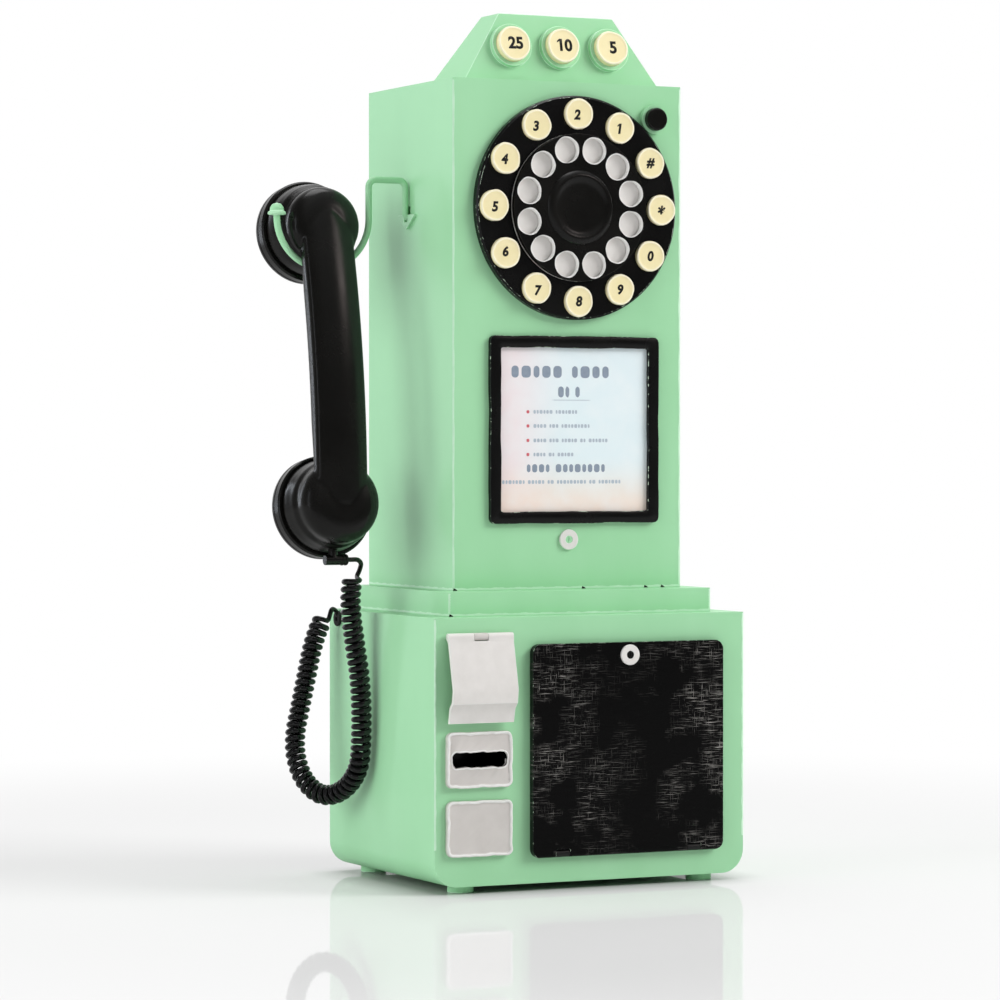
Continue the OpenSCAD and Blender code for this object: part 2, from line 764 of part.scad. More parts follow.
module back_panel() {
    gap = sheet_t + panel_gap;
    color("#6f7a72") difference() {
        translate([0, panel_y, 0]) rotate([90, 0, 0]) linear_extrude(sheet_t) {
            translate([0, foot_h + gap])
                base_outline(base_w - 2 * gap, base_h - 2 * gap, base_corner_r - gap);
            translate([-step_w / 2 + gap, base_top + gap]) square([step_w - 2 * gap, step_h - 2 * gap]);
            translate([-side_x + gap, step_top + gap]) square([upper_w - 2 * gap, upper_h - 2 * gap]);
            translate([-riser_w / 2 + panel_gap, base_top - gap - cut])
                square([riser_w - 2 * panel_gap, step_h + 2 * gap + 2 * cut]);
        }
        tab_screw_places() translate([0, panel_y, 0]) rotate([90, 0, 0])
            cylinder(d = screw_dia + 2 * fix_gap, h = 3 * sheet_t, center = true);
        for (side = [-1, 1], z = wall_hole_z) translate([side * wall_hole_x, panel_y, z]) rotate([90, 0, 0])
            cylinder(d = wall_hole_dia, h = 3 * sheet_t, center = true);
        box_between([jack_x - jack_w / 2, tab_y - cut, jack_z - jack_h / 2],
            [jack_x + jack_w / 2, panel_y + cut, jack_z + jack_h / 2]);
    }
}

module case_screws() {
    color("#b9bcb8") {
        tab_screw_places() translate([0, panel_y, 0]) rotate([-90, 0, 0]) cabinet_screw();
        flange_screw_places() {
            translate([0, 0, step_top + sheet_t]) cabinet_screw();
            translate([0, 0, base_top - sheet_t]) rotate([180, 0, 0]) cabinet_screw();
        }
        crown_screw_places() translate([0, 0, upper_top - sheet_t]) rotate([180, 0, 0]) cabinet_screw();
    }
}

// ---------- dial ----------

module at_dial() {
    facing_front(dial_x, upper_front, dial_z) children();
}

// Key n sits n twelfths of a turn round the dial, counted from the right
module key_place(n) {
    translate([key_circle_dia / 2 * cos(30 * n), key_circle_dia / 2 * sin(30 * n), 0]) children();
}

module dial_screw_places() {
    for (a = dial_screw_angles) rotate([0, 0, a]) translate([dial_screw_r, 0, 0]) children();
}

module post_places() {
    for (a = post_angles) rotate([0, 0, a]) translate([post_circle_r, 0, 0]) children();
}

module dial_plate() {
    color("#1b1b1d") at_dial() difference() {
        union() {
            cylinder(d = dial_dia, h = dial_plate_t - 1);
            translate([0, 0, dial_plate_t - 1]) cylinder(d1 = dial_dia, d2 = dial_dia - 2, h = 1, $fn = 96);
            translate([0, 0, -dial_boss_t]) cylinder(d = dial_boss_dia, h = dial_boss_t + cut);
            post_places() translate([0, 0, board_top]) cylinder(r = post_r, h = -board_top);
        }
        for (n = [0:11]) key_place(n) {
            translate([0, 0, key_floor])
                cylinder(d = key_dia + 2 * run_gap, h = dial_plate_t - key_floor + cut);
            translate([0, 0, -dial_boss_t - cut])
                cylinder(d = key_stem_dia + 2 * run_gap, h = dial_boss_t + dial_plate_t);
        }
        translate([0, 0, dial_plate_t - finger_plate_t])
            cylinder(d = wheel_dia + 0.4, h = finger_plate_t + cut);
        translate([0, 0, -dial_boss_t - cut])
            cylinder(d = spindle_dia, h = dial_boss_t + dial_plate_t + 2 * cut);
        dial_screw_places() translate([0, 0, -cut])
            cylinder(d = dial_screw_dia, h = dial_screw_len - sheet_t + cut);
        post_places() translate([0, 0, board_top - cut])
            cylinder(d = board_screw_dia, h = dial_screw_len + cut);
    }
}

module finger_plate() {
    color("#c9cacb") at_dial() translate([0, 0, dial_plate_t - finger_plate_t]) difference() {
        cylinder(d = wheel_dia, h = finger_plate_t);
        translate([0, 0, -cut]) cylinder(d = spindle_dia, h = finger_plate_t + 2 * cut);
    }
}

module wheel_spindle() {
    color("#8d8f92") at_dial() {
        translate([0, 0, -dial_boss_t - 1])
            cylinder(d = spindle_dia, h = dial_boss_t + 1 + wheel_bottom + wheel_web + 0.1);
        translate([0, 0, wheel_bottom + wheel_web + 0.1])
            cylinder(d = spindle_head_dia, h = spindle_head_t);
        translate([0, 0, -dial_boss_t - 1]) cylinder(d = spindle_dia + 4, h = 1);
    }
}

module finger_wheel() {
    color("#1b1b1d") at_dial() translate([0, 0, wheel_bottom]) difference() {
        cylinder(d = wheel_dia, h = wheel_t);
        for (n = [0:11]) rotate([0, 0, 30 * n + 15]) translate([finger_circle_dia / 2, 0, -cut])
            cylinder(d = finger_hole_dia, h = wheel_t + 2 * cut);
        translate([0, 0, -cut]) cylinder(d = spindle_dia + 2 * pin_gap, h = wheel_t + 2 * cut);
        translate([0, 0, wheel_web]) cylinder(d = spindle_head_dia + 2 * run_gap, h = wheel_t);
    }
}

module wheel_hub() {
    color("#101012") at_dial() translate([0, 0, wheel_top]) rotate_extrude() polygon([
        [0, 0], [hub_dia / 2, 0], [hub_dia / 2 - 0.4, hub_t - 0.4], [hub_dia / 2 - 1, hub_t],
        [hub_dish_dia / 2 + 1, hub_t], [hub_dish_dia / 2, hub_t - 0.6], [0, hub_t / 2]
    ]);
}

module key(n) {
    color("#efe9d2") at_dial() key_place(n) {
        translate([0, 0, key_head_bottom])
            cylinder(r = key_r, h = dial_plate_t + key_proud - key_head_bottom - 0.5);
        translate([0, 0, dial_plate_t + key_proud - 0.5]) cylinder(r1 = key_r, r2 = key_r - 0.5, h = 0.5);
        translate([0, 0, key_clip_top]) cylinder(d = key_stem_dia, h = key_head_bottom - key_clip_top);
        translate([0, 0, key_clip_top - key_clip_t]) cylinder(d = key_clip_dia, h = key_clip_t);
    }
}

module key_mat() {
    color("#7d7f82") at_dial() {
        translate([0, 0, board_top]) difference() {
            cylinder(d = key_circle_dia + 11, h = mat_t);
            translate([0, 0, -cut]) cylinder(d = key_circle_dia - 11, h = mat_t + 2 * cut);
        }
        for (n = [0:11]) key_place(n) translate([0, 0, mat_top]) cylinder(r1 = 4.4, r2 = 3, h = dome_h);
    }
}

module keypad_board() {
    color("#3f6b45") at_dial() translate([0, 0, board_top - board_t]) difference() {
        cylinder(d = key_circle_dia + 11, h = board_t);
        translate([0, 0, -cut]) cylinder(d = spindle_dia + 8, h = board_t + 2 * cut);
        post_places() translate([0, 0, -cut]) cylinder(d = board_screw_dia, h = board_t + 2 * cut);
    }
}

// Small screws: four hold the dial plate to the cabinet, three hold the board
module dial_screws() {
    color("#b9bcb8") at_dial() {
        dial_screw_places() translate([0, 0, -sheet_t]) small_screw();
        post_places() translate([0, 0, board_top - board_t]) small_screw();
    }
}

module small_screw() {
    cylinder(d = dial_screw_dia, h = dial_screw_len);
    translate([0, 0, -dial_screw_head_h]) cylinder(d = dial_screw_head_dia, h = dial_screw_head_h);
}

// ---------- card, locks and buttons ----------

module card_frame() {
    inner_w = card_frame_w - 2 * card_border;
    inner_h = card_frame_h - 2 * card_border;
    color("#1b1b1d") facing_front(card_x, upper_front, card_z) difference() {
        round_plate(card_frame_w, card_frame_h, 4, card_frame_t);
        translate([0, 0, card_frame_t / 2]) cube([inner_w, inner_h, 2 * card_frame_t], center = true);
        translate([0, 0, card_t / 2])
            cube([inner_w + 4 * card_gap, inner_h + 4 * card_gap, card_t + 0.1], center = true);
    }
}

module instruction_card() {
    inner_w = card_frame_w - 2 * card_border;
    inner_h = card_frame_h - 2 * card_border;
    color("#f3f0ee") facing_front(card_x, upper_front, card_z) translate([0, 0, card_t / 2])
        cube([inner_w + 2 * card_gap, inner_h + 2 * card_gap, card_t], center = true);
}

// A lock's collar and barrel round the turning plug
module lock_body(barrel_len) {
    color("#b6b8b6") difference() {
        union() {
            cylinder(d = lock_collar_dia, h = lock_collar_t);
            translate([0, 0, -barrel_len]) cylinder(d = lock_barrel_dia, h = barrel_len);
        }
        translate([0, 0, -barrel_len - cut])
            cylinder(d = lock_plug_dia + 2 * pin_gap, h = barrel_len + lock_collar_t + 2 * cut);
    }
}

// The plug with its key slot and the cam behind it, which points to the side
module lock_plug(barrel_len) {
    difference() {
        translate([0, 0, -barrel_len - lock_cam_t])
            cylinder(d = lock_plug_dia, h = barrel_len + lock_cam_t + lock_collar_t - 0.3);
        translate([0, 0, lock_collar_t]) cube([lock_slot_w, lock_slot_l, 2 * lock_slot_t], center = true);
    }
    translate([0, -lock_cam_w / 2, -barrel_len - lock_cam_t - 0.1])
        cube([lock_cam_len, lock_cam_w, lock_cam_t]);
    translate([0, 0, -barrel_len - lock_cam_t - 0.1]) cylinder(d = lock_cam_w, h = lock_cam_t);
}

module upper_lock_body() {
    facing_front(0, upper_front, upper_lock_z) lock_body(upper_barrel_len);
}

module upper_lock_plug() {
    color("#8fc79b") facing_front(0, upper_front, upper_lock_z) lock_plug(upper_barrel_len);
}

// A button: its face stands proud of the boss and a flange holds it behind the wall
module push_button(dia, boss_t, wall, proud) {
    cylinder_bottom = -wall - button_flange_t - button_tail;
    translate([0, 0, cylinder_bottom]) cylinder(d = dia, h = boss_t + proud - 0.6 - cylinder_bottom);
    translate([0, 0, boss_t + proud - 0.6]) cylinder(d1 = dia, d2 = dia - 1.2, h = 0.6);
    translate([0, 0, -wall - button_flange_t - 0.1])
        cylinder(d = dia + 2 * button_flange, h = button_flange_t);
}

module coin_button(n) {
    color("#efe9d2") facing_coin(n) push_button(coin_dia, coin_boss_t, crown_wall, coin_proud);
}

module release_button() {
    color("#1b1b1d") facing_front(release_x, upper_front, release_z)
        push_button(release_dia, release_boss_t, sheet_t, release_proud);
}

// A return spring as the tube that its turns fill
module spring_tube(wall) {
    top = -wall - button_flange_t - button_tail - 0.1;
    translate([0, 0, top - spring_len]) difference() {
        cylinder(d = spring_dia, h = spring_len);
        translate([0, 0, -cut]) cylinder(d = spring_dia - 2.4, h = spring_len + 2 * cut);
    }
}

module return_springs() {
    color("#8d8f92") {
        for (n = [0:2]) facing_coin(n) spring_tube(crown_wall);
        facing_front(release_x, upper_front, release_z) spring_tube(sheet_t);
    }
}

// ---------- coin return, plates and vault ----------

// The flap in the YZ plane: a round hinge edge, a flat band, a bulge and a tail
module flap_outline() {
    crease_z = -flap_drop * 0.61;
    knee_z = -flap_drop * 0.77;
    heel_z = -flap_drop * 0.84;
    bulge = flap_bulge - door_gap - hinge_r;
    circle(r = hinge_r);
    polygon([
        [0, hinge_r], [-hinge_r, 0], [-flap_front, -flap_band], [-bulge, crease_z], [-bulge + 1, knee_z],
        [-bulge + 4, heel_z], [-flap_front, -flap_drop], [-flap_front + flap_t, -flap_drop],
        [-bulge + 4 + flap_t, heel_z + 1], [-bulge + 1 + flap_t, knee_z + 1], [-bulge + flap_t, crease_z],
        [-flap_front + flap_t, -flap_band - 0.6], [hinge_r, 0]
    ]);
}

module pin_cuts(x, axis_z) {
    translate([x - pin_len / 2 - fix_gap, hinge_y, axis_z])
        bar_x(pin_dia / 2 + pin_gap, pin_len + 2 * fix_gap);
    notch_w = knuckle_w + 2 * knuckle_gap;
    box_between([x - notch_w / 2, hinge_y - hinge_r - cut, axis_z - hinge_r - knuckle_gap],
                [x + notch_w / 2, hinge_y + hinge_r + cut, axis_z + hinge_r + knuckle_gap]);
}

module coin_return_flap() {
    color("#c4c6c8") difference() {
        translate([-column_x - flap_w / 2, hinge_y, flap_axis_z]) rotate([90, 0, 90])
            linear_extrude(flap_w) flap_outline();
        pin_cuts(-column_x, flap_axis_z);
    }
}

// A knuckle that is welded to the base housing's front, with its pin
module hinge_knuckle(x, axis_z) {
    translate([x - knuckle_w / 2, hinge_y, axis_z]) {
        bar_x(hinge_r, knuckle_w);
        translate([0, 0, -hinge_r]) cube([knuckle_w, hinge_r + door_gap, 2 * hinge_r]);
    }
    translate([x - pin_len / 2, hinge_y, axis_z]) bar_x(pin_dia / 2, pin_len);
}

module hinge_knuckles() {
    color("#55585a") {
        for (x = door_knuckle_x) hinge_knuckle(x, door_axis_z);
        hinge_knuckle(-column_x, flap_axis_z);
    }
}

module coin_return_cup() {
    w = return_open_w + 4;
    low = return_open_top - return_open_h - 2;
    high = return_open_top + 2;
    front = base_front + sheet_t;
    color("#8d8f92") difference() {
        box_between([-column_x - w / 2, front, low], [-column_x + w / 2, front + cup_d, high]);
        translate([-column_x - w / 2 + cup_wall, 0, 0]) rotate([90, 0, 90]) linear_extrude(w - 2 * cup_wall)
            polygon([
                [front - cut, low + cup_wall], [front + cup_wall, low + cup_wall],
                [front + cup_d - cup_wall, low + cup_wall + 8],
                [front + cup_d - cup_wall, high - cup_wall], [front - cut, high - cup_wall]
            ]);
    }
}

// A plate with a raised rim, built upward
module rimmed_plate() {
    difference() {
        round_plate(plate_w, plate_h, plate_corner_r, plate_t + plate_rim_h);
        translate([0, 0, plate_t + plate_rim_h / 2 + cut / 2])
            cube([plate_w - 2 * plate_rim_w, plate_h - 2 * plate_rim_w, plate_rim_h + cut], center = true);
    }
}

module coin_slot_plate() {
    color("#9bdba6") facing_front(-column_x, base_front, slot_z) difference() {
        rimmed_plate();
        cube([slot_w, slot_h, 3 * (plate_t + plate_rim_h)], center = true);
    }
}

module blank_plate() {
    color("#9bdba6") facing_front(-column_x, base_front, blank_z) rimmed_plate();
}

// The trough that leads coins from the slot down over the coin box
// The chute starts at the slot and steps back to the coin box, clear of the vault's opening
module coin_chute() {
    low = slot_z - slot_h / 2 - chute_wall;
    front = base_front + sheet_t;
    run = chute_end_x - chute_left;
    step_x = door_x - vault_open_w / 2 - 0.5;
    color("#8d8f92") difference() {
        translate([chute_left, front + chute_d, low]) rotate([90, 0, 0]) linear_extrude(chute_d)
            polygon([[0, 0], [run, -chute_fall], [run, chute_h - chute_fall], [0, chute_h]]);
        box_between([step_x, front - cut, low - chute_fall - cut],
                    [chute_end_x + cut, box_front, low + chute_h + cut]);
        chute_channel(low, box_front + chute_wall);
        intersection() {
            chute_channel(low, front + chute_wall);
            box_between([chute_left, front, low],
                [step_x - chute_wall, box_front + 2 * chute_wall, slot_z + chute_d]);
        }
        facing_front(-column_x, front, slot_z) cube([slot_w, slot_h, 4 * chute_wall], center = true);
    }
}

module chute_channel(low, front) {
    run = chute_end_x - chute_left;
    back = base_front + sheet_t + chute_d - chute_wall;
    translate([chute_left + chute_wall, back, low]) rotate([90, 0, 0]) linear_extrude(back - front)
        polygon([[0, chute_wall], [run, chute_wall - chute_fall], [run, chute_h + cut], [0, chute_h + cut]]);
}

module coin_box() {
    color("#8d8f92") difference() {
        box_between([door_x - box_w / 2, box_front, rail_z],
            [door_x + box_w / 2, box_front + box_d, rail_z + box_h]);
        box_between([door_x - box_w / 2 + box_wall, box_front + box_wall, rail_z + box_wall],
                    [door_x + box_w / 2 - box_wall, box_front + box_d - box_wall, rail_z + box_h + cut]);
    }
}

module at_door_lock() {
    facing_front(door_x, hinge_y - hinge_r, door_lock_z) children();
}

module vault_door() {
    color("#1b1b1d") difference() {
        intersection() {
            union() {
                box_between([door_x - door_w / 2, hinge_y - hinge_r, door_axis_z],
                            [door_x + door_w / 2, hinge_y + hinge_r, door_top]);
                translate([door_x - door_w / 2, hinge_y, door_axis_z]) bar_x(hinge_r, door_w);
            }
            facing_front(door_x, hinge_y + hinge_r + cut, door_bottom + door_h / 2)
                linear_extrude(door_t + 2 * cut) round_outline(door_w, door_h, door_corner_r);
        }
        for (x = door_knuckle_x) pin_cuts(x, door_axis_z);
        at_door_lock() cylinder(d = lock_barrel_dia, h = 3 * door_t, center = true);
    }
}

module vault_lock_body() {
    at_door_lock() lock_body(door_barrel_len);
}

module vault_lock_plug() {
    color("#1b1b1d") at_door_lock() lock_plug(door_barrel_len);
}

// ---------- hook ----------

// A bend of the wire in the XZ plane round a centre, from angle a through sweep
module wire_bend(x, z, r, a, sweep) {
    translate([x, fork_plane, z]) rotate([90, 0, 0]) rotate([0, 0, a])
        rotate_extrude(angle = sweep) translate([r, 0]) circle(d = wire_dia, $fn = 24);
}

module wire_up(x, z, l) {
    translate([x, fork_plane, z]) cylinder(d = wire_dia, h = l, $fn = 24);
}

module wire_across(x, z, l) {
    translate([x, fork_plane, z]) rotate([0, 90, 0]) cylinder(d = wire_dia, h = l, $fn = 24);
}

module hook_wire() {
    top_z = fork_z + fork_top;
    arm_x = fork_x + fork_r;
    inner_end = -side_x + sheet_t + 10;
    color("#8fd39b") {
        wire_across(leg_x + entry_bend_r, entry_z, inner_end - leg_x - entry_bend_r);
        wire_bend(leg_x + entry_bend_r, entry_z + entry_bend_r, entry_bend_r, 180, 90);
        wire_up(leg_x, entry_z + entry_bend_r, top_z - top_bend_r - entry_z - entry_bend_r);
        wire_bend(leg_x - top_bend_r, top_z - top_bend_r, top_bend_r, 0, 90);
        wire_across(arm_x + top_bend_r, top_z, leg_x - arm_x - 2 * top_bend_r);
        wire_bend(arm_x + top_bend_r, top_z - top_bend_r, top_bend_r, 90, 90);
        wire_up(arm_x, fork_z, top_z - top_bend_r - fork_z);
        wire_bend(fork_x, fork_z, fork_r, 180, 180);
        translate([fork_x - fork_r, fork_plane, fork_z]) acorn_tip();
    }
}

module acorn_tip() {
    cylinder(d = wire_dia, h = 2, $fn = 24);
    translate([0, 0, 1]) rotate_extrude() polygon([
        [0, 0], [tip_dia / 2 - 0.6, 0], [tip_dia / 2, 0.8], [tip_dia / 2 - 0.4, 1.8],
            [tip_dia / 2 - 1.2, 2.2],
        [tip_dia / 2 - 1.4, 4], [tip_dia / 2 - 2.6, tip_h - 0.8], [0, tip_h]
    ]);
}

// The pressed lug under the wire, with a notch that the wire drops into
module hook_socket() {
    notch = wire_dia / 2 + 2 * fix_gap;
    top = entry_z + wire_dia / 2;
    color("#8fd39b") difference() {
        translate([-side_x - lug_t, fork_plane, top - lug_h]) rotate([90, 0, 90]) linear_extrude(lug_t)
            polygon([[0, 0], [lug_w / 2, lug_h - 1], [lug_w / 2, lug_h], [-lug_w / 2, lug_h],
                [-lug_w / 2, lug_h - 1]]);
        box_between([-side_x - lug_t - cut, fork_plane - notch, entry_z - notch],
            [-side_x + cut, fork_plane + notch, top + cut]);
    }
}

// The switch under the wire's inner end, with two cheeks that guide the wire
module hook_switch() {
    left = -side_x + sheet_t;
    low = entry_z - wire_dia / 2 - 1 - switch_h;
    guide = wire_dia / 2 + run_gap;
    color("#3a3c40") {
        box_between([left, fork_plane - switch_d / 2, low],
            [left + switch_w, fork_plane + switch_d / 2, low + switch_h]);
        for (side = [0, 1]) mirror([0, side, 0]) translate([0, side ? -fork_plane : fork_plane, 0])
            box_between([left + 2, guide, low + switch_h],
                [left + switch_w - 2, guide + 3, entry_z + wire_dia / 2 + hook_travel + 1]);
    }
}

// ---------- things inside ----------

module ringer_frame() {
    plate_w_in = 96;
    plate_h_in = 84;
    post_in = 8;
    coil_x = 16;
    coil_len = 18;
    coil_dia = 15;
    color("#9a9c98") {
        difference() {
            box_between([-plate_w_in / 2, ringer_plate_y, ringer_z - plate_h_in / 3],
                        [plate_w_in / 2, ringer_plate_y + sheet_t, ringer_z + plate_h_in * 2 / 3]);
            for (side = [-1, 1]) translate([side * gong_x, ringer_plate_y, ringer_z]) rotate([90, 0, 0])
                cylinder(d = 5, h = 3 * sheet_t, center = true);
            translate([0, ringer_plate_y, ringer_z + clapper_arm]) rotate([90, 0, 0])
                cylinder(d = 3 + 2 * pin_gap, h = 3 * sheet_t, center = true);
        }
        for (side = [-1, 1], z = [post_in - plate_h_in / 3, plate_h_in * 2 / 3 - post_in])
            translate([side * (plate_w_in / 2 - post_in), ringer_plate_y + sheet_t, ringer_z + z])
                rotate([-90, 0, 0]) cylinder(d = 6, h = tab_y - ringer_plate_y - sheet_t);
        for (side = [-1, 1])
            translate([side * coil_x, ringer_plate_y - coil_len, ringer_z + clapper_arm + 6])
                rotate([-90, 0, 0]) cylinder(d = coil_dia, h = coil_len);
    }
}

module ringer_gongs() {
    color("#b9a05a") for (side = [-1, 1]) translate([side * gong_x, gong_y, ringer_z]) rotate([-90, 0, 0]) {
        rotate_extrude() polygon([
            [0, 0], [gong_r * 0.6, 0.8], [gong_r * 0.9, 4], [gong_r, gong_d], [gong_r - gong_t, gong_d],
            [gong_r * 0.9 - gong_t, 4 + gong_t], [gong_r * 0.6 - 0.5, 0.8 + gong_t], [0, gong_t]
        ]);
        translate([0, 0, gong_t / 2]) cylinder(d = 5, h = ringer_plate_y + sheet_t - gong_y - gong_t / 2);
    }
}

// The clapper hangs from a pin in the ringer frame, between the gongs
module clapper() {
    color("#8d8f92") translate([0, 0, ringer_z + clapper_arm]) {
        translate([0, gong_y + 6, 0]) rotate([-90, 0, 0])
            cylinder(d = 3, h = ringer_plate_y + sheet_t - gong_y - 6);
        translate([0, gong_y + 7, -clapper_arm]) cylinder(d = 1.6, h = clapper_arm);
        translate([0, gong_y + 7, -clapper_arm]) sphere(r = clapper_ball_r);
        translate([-6, gong_y + 6, 0]) cube([12, 2, 3]);
    }
}

module line_jack() {
    low = panel_y - jack_d;
    color("#d8d4c6") difference() {
        box_between([jack_x - jack_w / 2, low, jack_z - jack_h / 2],
            [jack_x + jack_w / 2, panel_y, jack_z + jack_h / 2]);
        box_between([jack_x - 4.8, low + 3, jack_z - 3.4], [jack_x + 4.8, panel_y + cut, jack_z + 3.4]);
    }
}

module cord_grommet() {
    color("#1b1b1d") translate([-base_w / 2, grommet_y, grommet_z]) difference() {
        union() {
            translate([-1.6, 0, 0]) bar_x(4.2, 1.6);
            bar_x(grommet_hole_r, sheet_t);
            translate([sheet_t, 0, 0]) bar_x(grommet_hole_r + 0.6, 1.4);
        }
        translate([-5, 0, 0]) bar_x(cord_dia / 2 + 0.15, 12);
    }
}

// ---------- handset ----------

module at_handset() {
    translate([fork_x, ear_y, ear_z]) rotate([-handset_lean, 0, 0]) children();
}

// Both ends are alike; children are built from the cap's face outward
module at_caps() {
    for (z = [0, -handset_len]) translate([0, 0, z]) rotate([90, 0, 0]) children();
}

// The handle's arched bar, with round corners at its upper end
module handle_bar() {
    w = handle_w / 2;
    outer = handle_r;
    inner = handle_r - handle_t;
    intersection() {
        translate([0, handle_r - handle_out - handle_bow, handle_middle]) rotate([-90, 0, 0])
            rotate([0, 90, 0])
            rotate([0, 0, -handle_half_angle]) rotate_extrude(angle = 2 * handle_half_angle) polygon([
                [inner, -w + 2], [inner, w - 2], [inner + 3, w], [outer - 3, w], [outer - 0.6, w - 3],
                [outer, w - 9], [outer, -w + 9], [outer - 0.6, -w + 3], [outer - 3, -w], [inner + 3, -w]
            ]);
        rotate([90, 0, 0]) linear_extrude(handle_out + 2 * handle_bow) handle_outline();
    }
}

module handle_outline() {
    low = -handset_len - handle_over_end;
    w = handle_w / 2;
    translate([-w, low]) square([handle_w, handle_over_top - handle_corner_r - low]);
    translate([-w + handle_corner_r, 0]) square([handle_w - 2 * handle_corner_r, handle_over_top]);
    for (side = [-1, 1]) translate([side * (w - handle_corner_r), handle_over_top - handle_corner_r])
        circle(r = handle_corner_r);
}

// The bell behind a cap, with the neck and the dome in front of it
module bell(dome_r) {
    neck_end = ring_out + neck_t;
    ring_r = max(ring_dia / 2, dome_r + 1.2);
    rotate_extrude() polygon([
        [0, cap_floor + 0.6], [spigot_r, cap_floor + 0.6], [spigot_r, cap_t + 0.2],
            [bell_dia / 2, cap_t + 0.2],
        [bell_dia / 2 - 0.3, cap_t + 3], [ring_r + 0.3, ring_out - 1.2], [ring_r, ring_out],
        [dome_r, ring_out + 0.4], [dome_r, neck_end - 1], [dome_r - 0.5, neck_end + 0.6],
        [dome_r - 2.2, neck_end + 2.4], [dome_r - 6, neck_end + 4], [dome_r - 11, neck_end + 5],
            [0, neck_end + 5.6]
    ]);
}

module handset_handle() {
    color("#141414") at_handset() difference() {
        union() {
            difference() {
                handle_bar();
                rotate([90, 0, 0]) difference() {
                    cylinder(r = handset_len / 3, h = groove_end);
                    translate([0, 0, -cut]) cylinder(r = neck_r, h = groove_end + 2 * cut);
                }
            }
            rotate([90, 0, 0]) bell(neck_r);
            translate([0, 0, -handset_len]) rotate([90, 0, 0]) bell(mouth_dome_dia / 2);
        }
        at_caps() translate([0, 0, -cut]) cylinder(r = capsule_r + 0.3, h = cavity_end + cut);
        translate([0, -boot_out, boot_z]) cylinder(r = 2.6, h = 12);
    }
}

// A screwed cap with seven sound holes
module handset_cap() {
    color("#141414") rotate([90, 0, 0]) difference() {
        rotate_extrude() polygon([
            [0, 1.4], [cap_r * 0.5, 1.1], [cap_r * 0.8, 0.4], [cap_r - 3, 0], [cap_r - 0.9, 0.9],
                [cap_r, 2.8],
            [cap_r, 4.6], [cap_r - 0.5, 5], [cap_r - 0.5, 5.6], [cap_r, 6], [cap_r, cap_t - 0.9],
                [cap_r - 0.9, cap_t],
            [spigot_r + pin_gap, cap_t], [spigot_r + pin_gap, cap_floor], [0, cap_floor]
        ]);
        for (n = [0:5]) rotate([0, 0, 60 * n]) translate([8, 0, -cut])
            cylinder(r = grip_hole_r, h = cap_floor + 2 * cut);
        translate([0, 0, -cut]) cylinder(r = grip_hole_r, h = cap_floor + 2 * cut);
    }
}

module earpiece_cap() {
    at_handset() handset_cap();
}

module mouthpiece_cap() {
    at_handset() translate([0, 0, -handset_len]) handset_cap();
}

// The receiver and the transmitter in their cavities
module handset_capsules() {
    color("#9a9c98") at_handset() at_caps() translate([0, 0, cap_floor + 0.3])
        cylinder(r = capsule_r, h = capsule_t);
}

// The cord's sleeve lies under the mouth bell, with a plug up into the bell
module handset_boot() {
    color("#1b1b1d") at_handset() translate([0, -boot_out, boot_z]) difference() {
        union() {
            translate([-5, 0, 0]) bar_x(boot_r, 13);
            cylinder(r = 2.6, h = 9.5);
            for (x = [4.5, 6.5]) translate([x, 0, 0]) bar_x(boot_r + 0.3, 1);
        }
        translate([1.5, 0, 0]) bar_x(cord_dia / 2 + 0.15, 12);
    }
}

// ---------- curly cord ----------

function unit(v) = v / norm(v);
function smooth(t) = t <= 0 ? 0 : t >= 1 ? 1 : t * t * (3 - 2 * t);
// A smooth curve through the route's points, at u counted in points
function route_at(u) =
    let (last = len(cord_route) - 1, i = min(floor(u), last - 1), t = u - i)
    let (b = cord_route[i], c = cord_route[i + 1])
    let (a = i > 0 ? cord_route[i - 1] : 2 * b - c, d = i < last - 1 ? cord_route[i + 2] : 2 * c - b)
    0.5 * (2 * b + (c - a) * t + (2 * a - 5 * b + 4 * c - d) * t ^ 2 + (3 * b - a - 3 * c + d) * t ^ 3);
function running_sum(v, i = 0, total = 0, out = []) =
    i == len(v) ? concat(out, [total]) : running_sum(v, i + 1, total + v[i], concat(out, [total]));

